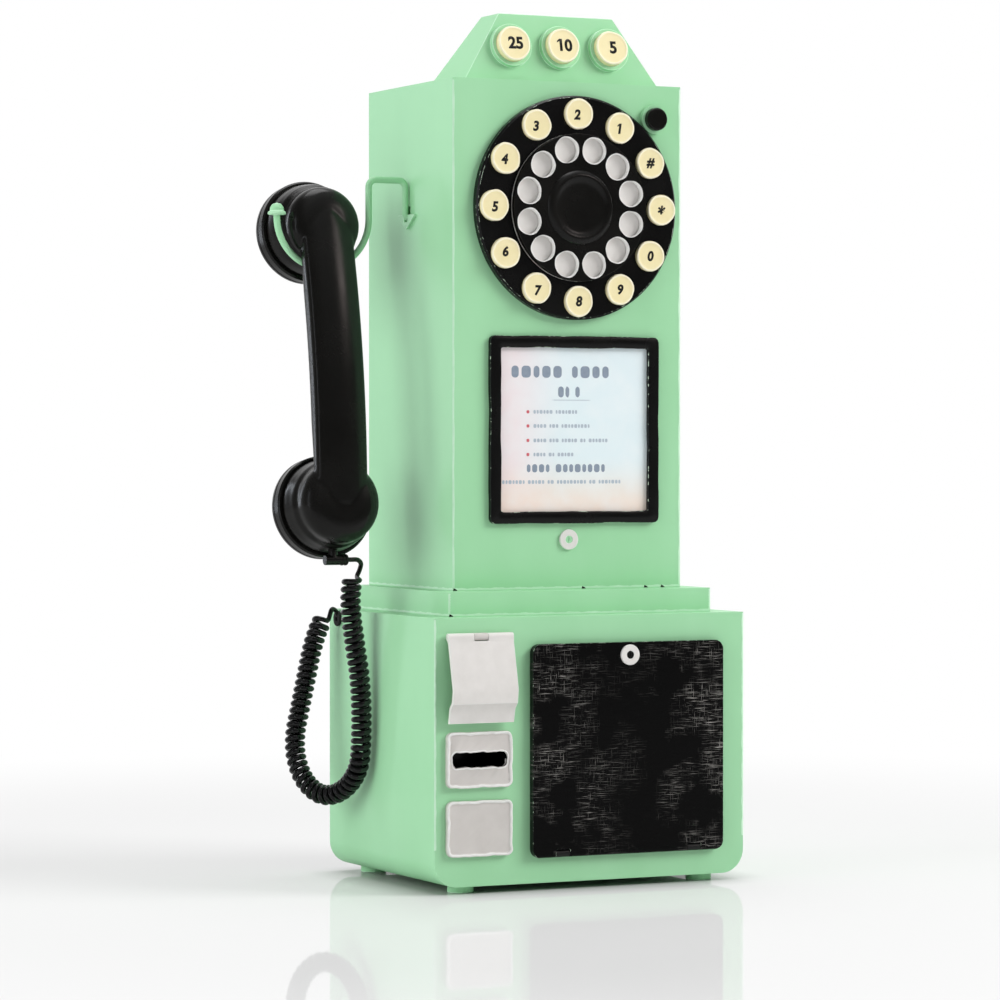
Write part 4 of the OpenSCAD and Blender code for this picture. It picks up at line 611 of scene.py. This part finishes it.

# %% Painted shade: small black marks on the seams, where the gaps between the sheets look dark
points, faces = [], []
for x, y, z in ((-68.6, -40.5, step_top), (8.6, -40.5, step_top), (46.8, -40.5, step_top),
                (57.2, -40.5, step_top), (-78.6, -56.5, base_top)):
    faces.append(tuple(range(len(points), len(points) + 4)))
    points += [(x - 0.4, y - 0.09, z + 0.1), (x + 2.4, y - 0.09, z + 0.1),
               (x + 1.6, y - 0.09, z + 0.8), (x + 0.1, y - 0.09, z + 1.5)]
seam_shade_marks = new_piece("seam_shade_marks", points, faces)
finish(seam_shade_marks, black_enamel, "cabinet")

# %% Dress the black and silver parts
dress("dial_plate", black_enamel, 0.6, chipped_edge)
dress("vault_door", brushed_black, 0.6, chipped_edge)
dress("vault_lock_plug", black_enamel, 0.15, black_enamel_edge)
dress("finger_wheel", gloss_black, 0.35)
dress("finger_plate", bright_silver)
dress("coin_return_flap", bright_silver, 0.5, silver_paint_edge)
dress("upper_lock_body vault_lock_body", bright_silver, 0.3, silver_paint_edge)
dress("case_screws dial_screws wheel_spindle coin_box coin_return_cup ringer_frame clapper",
      zinc_plate, 0.15)
dress("ringer_gongs", bell_brass, 0.15)
dress("coin_chute", black_enamel, 0.15)
dress("cord_grommet", black_rubber, 0.3)
dress("keypad_board", circuit_board)
dress("instruction_card", card_stock)
dress("hook_switch", dark_plastic, 0.3)
dress("line_jack", pale_plastic, 0.3)
dress("handset_capsules", dark_plastic, 0.2)
dress("earpiece_cap mouthpiece_cap handset_boot", gloss_black, 0.3)
dress("release_button", gloss_black, 0.5)

# %% [markdown]
# ## Hinge knuckles
# The knuckles are painted with what they carry: silver at the flap, black at the door.
# They are one solid in the model, so the paint changes with height between the hinges.

# %% Paint that changes between the hinges
hinge_paint, tree, where = empty_material("hinge_enamel")
axes = add(tree, "SeparateXYZ", {"Vector": where})
upper = add(tree, "Math", {0: axes.outputs["Z"], 1: 0.075}, operation="GREATER_THAN")
speck = add(tree, "TexNoise", {"Vector": where, "Scale": per_mm(3), "Detail": 3.0})
dark = add(tree, "Mix", {0: speck, 6: "060606", 7: "141414"}, data_type="RGBA")
pale = add(tree, "Mix", {0: speck, 6: "bfbab6", 7: "d4cfcb"}, data_type="RGBA")
paint = add(tree, "Mix", {0: upper, 6: dark, 7: pale}, data_type="RGBA")
grain = add(tree, "Bump", {"Height": speck, "Strength": 0.4, "Distance": 0.00002})
coat = add(tree, "BsdfPrincipled", {"Base Color": paint, "Roughness": 0.4, "Normal": grain})
add(tree, "OutputMaterial", {"Surface": coat})
dress("hinge_knuckles", hinge_paint, 0.25)

# %% [markdown]
# ## Keys and coin buttons
# The discs are moulded in cream urea plastic and touched up by hand, so their outline
# wavers by a few tenths of a millimetre inside a raised rim, painted paler all round as a
# highlight. The solid keeps the stem and the body. A thin cap over its head carries the
# rim, because a bevel would leave it machine round.

# %% The dial's places
dial = Vector((3.5, -45.0, 365))
key_names = ["star", "hash", "1", "2", "3", "4", "5", "6", "7", "8", "9", "0"]
key_ring = (121 - 16.6 - 2 * 1.7) / 2
hood_out, hood_up = (0, -0.97741, 0.21135), (0, 0.21135, 0.97741)
coin_places = {"25": -29.6, "10": 0.0, "5": 29.6}


# %% A hand-finished cap
def cream_cap(name, place, radius, low, top, loose, seed, body):
    """A thin cap from the height low to top over a head of this radius, in mm."""
    def ring(inset, height, wave=1.0):
        return circle(radius - inset, 72, loose * wave, seed), height
    rings = [ring(0.05, low), ring(-0.02, low + 0.05), ring(0.1, top - 0.25),
             ring(0.4, top - 0.03), ring(0.75, top), ring(1.1, top - 0.1, 0.9),
             ring(1.5, top - 0.24, 0.8), ring(2.4, top - 0.3, 0.6),
             ring(radius * 0.6, top - 0.31, 0.2), ring(radius - 0.2, top - 0.31, 0)]
    # The rim bands take the paler cream, a painted highlight
    cap = stack(name, rings, place, close_first=False, second=(1, 2, 3, 4))
    return finish(cap, key_cream, body, cream_painted_highlight)


key_places = {}
for i, name in enumerate(key_names):
    turn = radians(30 * i)
    centre = dial + key_ring * Vector((cos(turn), 0, sin(turn)))
    key_places[name] = seat(centre)
    dress("key_" + name, key_cream)
    cream_cap("key_cap_" + name, key_places[name], 8.35, 1.56, 2.15, 0.22, i,
              "key_" + name)
button_places = {}
for i, (name, x) in enumerate(coin_places.items()):
    button_places[name] = seat((x, -29.39, 452), hood_out, hood_up)
    dress("coin_button_" + name, key_cream)
    cream_cap("coin_cap_" + name, button_places[name], 9.5, 5.55, 6.35, 0.2, 20 + i,
              "coin_button_" + name)
print("caps:", len(key_places) + len(button_places))

# %% [markdown]
# ## The key mat
# Under the keys lies a moulded silicone mat with a dome for each key, which is the key's
# spring. The real domes buckle flat in use; these keep their shape and ride on the cabinet.

# %% Sheet and domes
mat_low, mat_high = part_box("key_mat")
mat_y = 1000 * mat_high.y
ring_out, ring_in = circle(key_ring + 5.5, 96), circle(key_ring - 5.5, 96)
mat_sheet = stack("key_mat_sheet", [(ring_out, 0.0), (ring_out, 1.0), (ring_in, 1.0),
                                    (ring_in, 0.0), (ring_out, 0.0)],
                  seat((dial.x, mat_y, dial.z)), close_first=False, close_last=False)
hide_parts("key_mat")
finish(mat_sheet, grey_rubber, "cabinet")
for name, place in key_places.items():
    under = seat((place.translation.x, mat_y, place.translation.z))
    dome = stack("key_dome_" + name, [(circle(r, 32), h) for r, h in (
        (4.4, 1.0), (4.15, 1.5), (3.6, 2.4), (3.3, 2.85), (2.9, 3.0))], under,
        close_first=False)
    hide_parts("key_mat")
    finish(dome, grey_rubber, "cabinet")
    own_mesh(dome)
print("mat in mm:", round(mat_y - 1000 * mat_low.y, 2), "thick with its domes")

# %% [markdown]
# ## Figures
# The numbers are pad printed in black, slanted and bold, 5.6 mm tall on the keys and
# 7 mm on the coin buttons, in the outlines of Blender's own typeface. Each figure is
# turned from a text object into a thin mesh, which can be centred by its real outline,
# lie on a tilted cap and move with it.


# %% Print a figure on a seat
capital_share = 0.73  # a capital's height in the typeface, as a share of its size
ink_thickness = 0.04


def figure(name, text, place, tall, body, slant, bold, shift, high):
    """A figure this tall in mm, centred on a seat beside shift and lifted by high. The
    typeface's plain 1 gets a flag."""
    letters = bpy.data.curves.new(name, "FONT")
    letters.body = text
    letters.size = tall / capital_share
    letters.shear = slant
    letters.offset = bold
    letters.resolution_u = 6
    holder = placed(name, letters)
    graph = bpy.context.evaluated_depsgraph_get()
    flat = bpy.data.meshes.new_from_object(holder.evaluated_get(graph))
    bpy.data.objects.remove(holder)
    spots = [v.co.copy() for v in flat.vertices]
    faces = [tuple(f.vertices) for f in flat.polygons]
    if text[0] == "1":
        top = max(v.y for v in spots)
        left = min(v.x for v in spots if v.y > 0.9 * top)
        right = max(v.x for v in spots if v.y > 0.9 * top and v.x < left + 0.2 * top)
        faces.append(tuple(range(len(spots), len(spots) + 4)))
        spots += [Vector((right, top, 0)), Vector((left - 0.22 * top, 0.8 * top, 0)),
                  Vector((left - 0.24 * top, 0.66 * top, 0)), Vector((left, 0.8 * top, 0))]
    xs = [v.x for v in spots]
    ys = [v.y for v in spots]
    grow = tall / (max(ys) - min(ys))
    offset = Vector((*shift, high))
    centre = Vector(((min(xs) + max(xs)) / 2, (min(ys) + max(ys)) / 2, 0))
    points = [place @ ((v - centre) * grow + offset) for v in spots]
    piece = new_piece(name, points, faces)
    bpy.data.meshes.remove(flat)
    solid = piece.modifiers.new("ink", "SOLIDIFY")
    solid.thickness = ink_thickness / 1000
    solid.offset = 0
    return finish(piece, ink_black, body)


shifts = {"3": (-0.8, -0.6), "2": (-1.2, -0.4), "1": (-0.7, -0.4), "7": (0.6, -1.3),
          "4": (-1.0, -0.4), "6": (-0.5, 0.8), "5": (0, -0.7)}
for name, place in key_places.items():
    sign = {"star": "*", "hash": "#"}.get(name, name)
    tall, bold = (5.0, 0.17) if name == "star" else (5.6, 0.33)
    figure("figure_" + name, sign, place, tall, "key_" + name, slant=0.14, bold=bold,
           shift=shifts.get(name, (0, 0)), high=1.87)
for name, place in button_places.items():
    figure("coin_figure_" + name, name, place, 7.0, "coin_button_" + name, slant=0.0,
           bold=0.36, shift=(0.6, 0.2), high=6.07)

# %% [markdown]
# ## Finger holes and hub
# The wheel's holes were painted silver inside with a small brush, which ran a little
# over their rims, so a thin open ring lines each hole. The hub is a turned dish; its
# profile has many points so that highlights run round it in smooth arcs.

# %% Line the finger holes
wheel_front = -48.5
hole_ring, hole_radius, wheel_depth = 31.815, 6.8, 3.15
liner_points, liner_faces = [], []
for i in range(12):
    turn = radians(15 + 30 * i)
    hole = seat((dial.x + hole_ring * cos(turn), wheel_front,
                 dial.z + hole_ring * sin(turn)))
    rings = [(circle(7.25, 64, 0.22, i), 0.04), (circle(6.99, 64, 0.05, i), 0.03),
             (circle(hole_radius, 64), -0.25), (circle(hole_radius, 64), -wheel_depth)]
    liner_faces += wall(3, 64, len(liner_points))
    for outline, height in rings:
        liner_points += [hole @ Vector((x, y, height)) for x, y in outline]
liners = new_piece("finger_hole_paint", liner_points, liner_faces)
finish(liners, silver_paint_edge, "finger_wheel")

# %% Turn the hub
hub_profile = [(20.0, 0.0), (19.93, 0.14), (19.4, 0.62), (18.8, 1.12), (18.3, 1.46),
               (17.6, 1.7), (16.8, 1.78), (15.9, 1.66), (15.1, 1.36), (14.4, 1.04),
               (13.6, 0.86), (12.6, 0.76), (11.0, 0.7), (8.0, 0.66), (4.0, 0.64), (0.3, 0.63)]
hub = stack("hub_dish", [(circle(r, 128), h) for r, h in hub_profile],
            seat((dial.x, wheel_front, dial.z)))
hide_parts("wheel_hub")
finish(hub, gloss_black, "finger_wheel")

# %% [markdown]
# ## The card's frame and its print
# The frame is a flat moulding, painted by hand, so its edges waver. The card carries
# plain blocks in place of letters, in three headings, short rules and red dots.

# %% Card frame
card_x, card_z = 3.25, 245.2
frame_wide, frame_tall = 102.5, 101.5


def band(inset, height, loose=0.22, seed=3):
    """The frame's outline, drawn in by inset mm, at a height."""
    return rounded(frame_wide - 2 * inset, frame_tall - 2 * inset, max(3.2 - inset, 0.6), 240,
                   loose, seed), height


frame_rings = [band(*row) for row in (
    (0.2, 0.0), (0.2, 2.3), (0.35, 2.75), (0.8, 2.97), (5.9, 2.97, 0.2, 5),
    (6.4, 2.75, 0.2, 5), (6.6, 2.3, 0.2, 5), (6.6, 0.55, 0.2, 5))]
card_band = stack("card_frame_band", frame_rings, seat((card_x, upper_front[1], card_z)),
                  close_first=False, close_last=False, second=(1, 5))
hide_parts("card_frame")
finish(card_band, black_enamel, "cabinet", chipped_edge)

# %% Print on the card
card_front = seat((card_x, -41.04, card_z))


def bars(name, material, rows):
    """Flat bars; each row is (left, middle height, width, tall) in mm."""
    points, faces = [], []
    for left, y, width, tall in rows:
        outline = rounded(width, tall, tall * 0.3, 24)
        faces.append(tuple(range(len(points), len(points) + 24)))
        points += [card_front @ Vector((left + width / 2 + x, y + z, 0)) for x, z in outline]
    return finish(new_piece(name, points, faces), material, "cabinet")


def words(left, y, counts, tall, wide):
    """Words of so many blocks, one block for a letter; they start at left."""
    row = []
    for count in counts:
        for i in range(count):
            across = wide * (0.8 + 0.2 * sin(2.3 * len(row) + y))
            row.append((left, y, across, tall))
            left += across + 0.3 * wide
        left += 0.8 * wide
    return row


bars("print_headings", print_grey, words(-37.6, 31.2, (5, 4), 6.4, 5.7)
     + words(-9.5, 20.4, (2, 1), 6.0, 3.4) + words(-28.4, -20.8, (4, 8), 4.4, 3.5))
short_rules = {9.6: (6, 7), 2.0: (4, 3, 9), -5.8: (4, 3, 5, 2, 6), -13.4: (4, 2, 5)}
rules = [row for y, counts in short_rules.items() for row in words(-24.4, y, counts, 2.0, 1.8)]
rules += words(-43.2, -28.2, (7, 5, 2, 9, 2, 7), 2.0, 1.85) + [(-13.5, 16.0, 24, 0.35)]
bars("print_rules", print_pale, rules)
bars("print_dots", print_red, [(-28.6, y, 1.7, 1.7) for y in short_rules])

# %% [markdown]
# ## The two small plates
# Coin slot and blank plate are pressed sheet, painted silver, with a raised rim that was
# rubbed nearly white by hand and wavers. A black lining runs down through the slot.

# %% Plates with a raised rim
plate_x, slot_z, blank_z = -67.5, 71.0, 34.7


def rim(inset, height, loose, seed):
    """The plate's outline, drawn in by inset mm, at a height."""
    return rounded(38.8 - 2 * inset, 30 - 2 * inset, max(3.6 - inset, 0.8), 192, loose,
                   seed), height


def slot_outline(grow, height, loose=0.25):
    """The coin slot's outline with round ends."""
    return rounded(32.2 + 2 * grow, 8.0 + 2 * grow, 2.6 + grow, 192, loose, 9), height


for name, z, seed in (("coin_slot_plate", slot_z, 1), ("blank_plate", blank_z, 4)):
    rings = [rim(*row, seed) for row in (
        (0.25, 0.0, 0.1), (0.25, 2.2, 0.22), (0.4, 2.6, 0.22), (0.75, 2.78, 0.22),
        (1.35, 2.7, 0.25), (1.75, 2.35, 0.3), (2.0, 2.1, 0.3), (2.6, 2.02, 0.2))]
    silver_bands = (2, 3, 4)
    slotted = name == "coin_slot_plate"
    if slotted:
        rings += [slot_outline(*row) for row in (
            (0.9, 2.03), (0.55, 2.3), (0.15, 2.3), (-0.1, 1.9), (-0.15, 0.0))]
        silver_bands += (8, 9)
    plate = stack(name + "_skin", rings, seat((plate_x, base_front[1], z)),
                  close_last=not slotted, close_first=not slotted, second=silver_bands)
    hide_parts(name)
    finish(plate, silver_paint, "cabinet", silver_paint_edge)

# %% Line the slot
lip = stack("coin_slot_lining", [slot_outline(0.12, 2.2), slot_outline(-0.14, 1.85),
            slot_outline(-0.18, -1.9, 0.0), slot_outline(-0.18, -2.9, 0.0)],
            seat((plate_x, base_front[1], slot_z)), close_first=False, close_last=False)
finish(lip, black_enamel, "cabinet")

# %% [markdown]
# ## The handset's body
# One phenolic moulding: an arched handle that runs into a dome at each end, with no
# line where they meet. The arch is lofted from crowned sections and the ends are
# turned. A voxel remesh joins them and leaves the small fillet that a mould has, where
# Booleans would leave a crease.

# %% The handset's own axes
lean = radians(8.4)
handset_out = (0, -cos(lean), sin(lean))
handset_up = (0, sin(lean), cos(lean))
handset_place = seat((-120, 45.5, 351.5), handset_out, handset_up)
span = 151.0
half_span = (span + 2 + 6.5) / 2
arch_radius = (half_span ** 2 + 36) / 12
arch_angle = asin(half_span / arch_radius)
arch_middle = 6.5 - half_span
arch_centre = 45.0 - arch_radius
print("arch radius in mm:", round(arch_radius, 1))


# %% The handle's crowned section
def handle_section(reach, half_width, depth):
    """Points (x, out) of one section, clockwise from the left inner corner."""
    crown, flat = 30.0, 11.6
    side = [(0.9, 0.75), (0.965, 1.7), (0.995, 2.8), (1.0, 4.0)]
    drop = crown - sqrt(crown ** 2 - flat ** 2)
    top = [(half_width * 0.787 * k / 6, crown - sqrt(crown ** 2 - (flat * k / 6) ** 2))
           for k in range(-6, 7)]
    right = [(half_width * share, drop + down) for share, down in side]
    low = [(half_width, max(depth - 2.2, drop + 4.3)), (half_width * 0.975, depth - 0.8),
           (half_width * 0.9, depth - 0.15), (half_width * 0.7, depth), (0.0, depth)]
    half = right + low
    points = top + half + [(-x, down) for x, down in reversed(half[:-1])]
    return [(x, reach - down) for x, down in points]


rows = []
for i in range(61):
    angle = -arch_angle + 2 * arch_angle * i / 60
    y = arch_middle + arch_radius * sin(angle)
    surface_out = arch_centre + arch_radius * cos(angle)
    corner = min(max(y + 2.5, 0), 8.7)
    half_width = 14.75 - 9 + sqrt(81 - corner ** 2)
    near_end = min(abs(y), abs(y + span)) < span / 3
    depth = min(13.0, surface_out - 30.8) if near_end else 13.0
    rows.append([(x, y, out) for x, out in handle_section(surface_out, half_width, depth)])
count = len(rows[0])
points = [handset_place @ Vector(p) for row in rows for p in row]
faces = [tuple(range(count)), tuple(range(60 * count, 61 * count))] + wall(60, count)
handle = new_piece("handle_loft", points, faces)

# %% The two bells with their domes
bells = []
for name, y, dome in (("ear", 0.0, 20.7), ("mouth", -span, 22.5)):
    ring = max(23.2, dome + 1.2)
    profile = [(0.2, 19.5), (20.5, 19.5), (20.5, 3.2), (23.2, 3.2), (23.2, 11.6),
               (25.4, 11.6), (25.5, 12.2), (25.4, 14.0), (25.0, 16.6), (24.5, 19.2),
               (ring + 0.45, 21.8), (ring + 0.2, 23.2), (ring - 0.5, 24.1),
               (dome + 0.25, 24.7), (dome + 0.02, 26.0), (dome, 29.0), (dome - 0.15, 31.2),
               (dome - 0.7, 33.2), (dome - 1.9, 35.0), (dome - 4.0, 36.6),
               (dome - 7.0, 37.8), (dome - 11.0, 38.5), (0.2, 38.8)]
    place = handset_place @ Matrix.Translation((0, y, 0))
    bells.append(stack("bell_" + name, [(circle(r, 96), h) for r, h in profile], place))


# %% Join, remesh and smooth
body_mesh = bmesh.new()
for part in [handle] + bells:
    body_mesh.from_mesh(part.data)
handset_mesh = bpy.data.meshes.new("handset_body")
body_mesh.to_mesh(handset_mesh)
body_mesh.free()
for part in [handle] + bells:
    bpy.data.objects.remove(part)
handset_body = placed("handset_body", handset_mesh)
skin = handset_body.modifiers.new("skin", "REMESH")
skin.mode = "VOXEL"
skin.voxel_size = 0.0008
smooth = handset_body.modifiers.new("smooth", "SMOOTH")
smooth.factor = 0.5
smooth.iterations = 7
graph = bpy.context.evaluated_depsgraph_get()
final_mesh = bpy.data.meshes.new_from_object(handset_body.evaluated_get(graph))
handset_body.modifiers.clear()
handset_body.data = final_mesh
final_mesh.shade_smooth()
final_mesh.materials.clear()
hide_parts("handset_handle")
finish(handset_body, gloss_black, "handset")
print("handset body faces:", len(handset_body.data.polygons))

# %% [markdown]
# ## Return springs
# Behind each coin button and the release button sits a compression spring of 0.8 mm
# wire with closed end turns. The model has only the tube that the turns fill.


# %% Wind a compression spring
def spring(name, place, top):
    """Six and a half turns between the heights top - 8 and top on a seat, in mm."""
    steps = 120
    centres = []
    for i in range(steps + 1):
        share = i / steps
        rise = eased((share - 0.1) / 0.8) * 5.6 + 0.8 * share
        turn = tau * 6.5 * share
        centres.append(place @ Vector((3.35 * cos(turn), 3.35 * sin(turn),
                                       top - 7.2 + rise)))
    piece = tube(name, centres, 0.4, 8)
    finish(piece, zinc_plate, "cabinet")
    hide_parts("return_springs")
    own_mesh(piece)


for name, place in button_places.items():
    spring("spring_" + name, place, -5.2)
spring("spring_release", seat((51.99, -40.5, 414.5)), -4.7)

# %% [markdown]
# ## Ringer coils
# The ringer's two electromagnets are wound with enamelled copper wire. A helix round
# each core shows it; its turns are drawn several times as coarse as real ones, which
# would be too fine to see.

# %% Wind the ringer's coils
front = 1000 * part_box("ringer_frame")[0].y
for name, x in (("left", -16), ("right", 16)):
    centres = []
    for i in range(16 * 16 + 1):
        turn = tau * i / 16
        centres.append(Vector((x + 7.8 * cos(turn), front + 1.2 + 15.6 * i / 256,
                               256 + 7.8 * sin(turn))))
    finish(tube("coil_winding_" + name, centres, 0.46, 6), copper_wire, "cabinet")

# %% [markdown]
# ## The studio
# The lamps are set so that a colour renders about as written. Black phenolic shows
# little but reflections, so the broad lamps are kept out of them and three small boxes
# draw the streaks and the patch. The floor runs on behind the telephone and keeps its
# shadow from the lamps; its glow to the camera fades near the telephone, a painted
# contact shadow. Both floor and world show white to the camera.

# %% Floor
floor_mesh = bpy.data.meshes.new("floor")
floor_mesh.from_pydata([(-8, -8, 0), (8, -8, 0), (8, 12, 0), (-8, 12, 0)], [], [(0, 1, 2, 3)])
floor = placed("floor", floor_mesh)

floor_white, tree, where = empty_material("floor_white")
seen = add(tree, "LightPath")
either = add(tree, "Math", {0: seen.outputs["Is Camera Ray"],
                            1: seen.outputs["Is Glossy Ray"]}, operation="MAXIMUM")
away = add(tree, "VectorMath", {0: where}, operation="LENGTH")
far = add(tree, "MapRange", {"Value": away, "From Min": 0.35, "From Max": 0.9},
          interpolation_type="SMOOTHSTEP")
far_seen = add(tree, "Math", {0: far, 1: seen}, operation="MULTIPLY")
# Painted shade: the glow that makes the floor white fades where ambient occlusion finds the
# telephone close, a dark contact shadow under it
nook = add(tree, "AmbientOcclusion", {"Distance": 0.03})
outside_contact_shadow = add(tree, "MapRange", {"Value": nook.outputs["AO"], "From Min": 0.3,
                                    "From Max": 0.9})
near_lift = add(tree, "Math", {0: outside_contact_shadow, 1: 0.28}, operation="MULTIPLY")
lift = add(tree, "Math", {0: near_lift, 1: seen}, operation="MULTIPLY")
tint = add(tree, "Mix", {0: either, 6: "f4f4f4", 7: "b4b4b4"}, data_type="RGBA")
matt = add(tree, "BsdfDiffuse", {"Color": tint})
shine = add(tree, "BsdfGlossy", {"Color": "ffffff", "Roughness": 0.03})
polished = add(tree, "MixShader", {0: 0.22, 1: matt, 2: shine})
glow = add(tree, "Emission", {"Color": "ffffff", "Strength": lift})
near = add(tree, "AddShader", {0: polished, 1: glow})
plain = add(tree, "Emission", {"Color": "ffffff"})
whole = add(tree, "MixShader", {0: far_seen, 1: near, 2: plain})
add(tree, "OutputMaterial", {"Surface": whole})
floor_mesh.materials.append(floor_white)

# %% World
world = bpy.data.worlds.new("studio")
scene.world = world
world.use_nodes = True
tree = world.node_tree
tree.nodes.clear()
seen = add(tree, "LightPath")
way = add(tree, "SeparateXYZ", {"Vector": add(tree, "TexCoord").outputs["Generated"]})
behind = add(tree, "MapRange", {"Value": way.outputs["Y"], "From Min": -0.25,
                                "From Max": 0.45}, interpolation_type="SMOOTHSTEP")
above = add(tree, "MapRange", {"Value": way.outputs["Z"], "From Min": 0.2,
                               "From Max": 1.0, "To Max": 0.6})
bright = add(tree, "Math", {0: behind, 1: above}, operation="MAXIMUM")
right = add(tree, "MapRange", {"Value": way.outputs["X"], "From Min": -0.42,
                               "From Max": -0.02, "To Min": 0.12, "To Max": 0.9},
            interpolation_type="SMOOTHSTEP")
share = add(tree, "Mix", {0: seen.outputs["Is Glossy Ray"], 2: 0.6, 3: right})
room = add(tree, "Math", {0: bright, 1: share}, operation="MULTIPLY")
dim = add(tree, "Math", {0: room, 1: 0.1}, operation="ADD")
strength = add(tree, "Math", {0: dim, 1: seen}, operation="MAXIMUM")
sky = add(tree, "Background", {"Color": "ffffff", "Strength": strength})
add(tree, "OutputWorld", {"Surface": sky})


# %% Lamps
def soft_lamp(name, place, width, tall, power, aim=0.3, tint="ffffff", shine=False,
              only_for=None):
    """A rectangular lamp that faces the telephone at the height aim; sizes in metres,
    power in watts. Only a lamp with shine shows in polished surfaces."""
    lamp = bpy.data.lights.new(name, "AREA")
    lamp.shape = "RECTANGLE"
    lamp.size = width
    lamp.size_y = tall
    lamp.energy = power
    lamp.color = shade_of(tint)[:3]
    holder = placed(name, lamp)
    holder.location = place
    way = Vector((0, 0, aim)) - Vector(place)
    holder.rotation_euler = way.to_track_quat("-Z", "Y").to_euler()
    holder.visible_glossy = shine
    holder.visible_camera = False
    if only_for:
        holder.light_linking.receiver_collection = only_for


soft_lamp("key_lamp", (1.9, -1.3, 1.6), 1.3, 1.3, 58, aim=0.25)
soft_lamp("left_lamp", (-2.2, -0.2, 0.9), 1.6, 1.6, 27, aim=0.25)
soft_lamp("top_lamp", (0.1, 0.1, 2.0), 1.0, 1.0, 10, shine=True)

# %% Three small boxes whose reflections shape the black parts; the floor shows none
off_floor = bpy.data.collections.new("off_floor")
off_floor.objects.link(floor)
off_floor.collection_objects[0].light_linking.link_state = "EXCLUDE"
for name, place, width, tall, power, tint in (
        ("patch_box", (1.37, -1.76, 1.43), 0.55, 0.45, 3.4, "ffeeea"),
        ("left_strip", (-2.1, -1.0, 0.7), 0.22, 1.3, 2.6, "f4f8ff"),
        ("window_strip", (-1.15, 1.95, 0.6), 0.16, 1.3, 4.0, "eef5ff")):
    soft_lamp(name, place, width, tall, power, tint=tint, shine=True, only_for=off_floor)

# %% [markdown]
# ## Close
# The view layer is brought up to date.

# %% Update the view layer
bpy.context.view_layer.update()
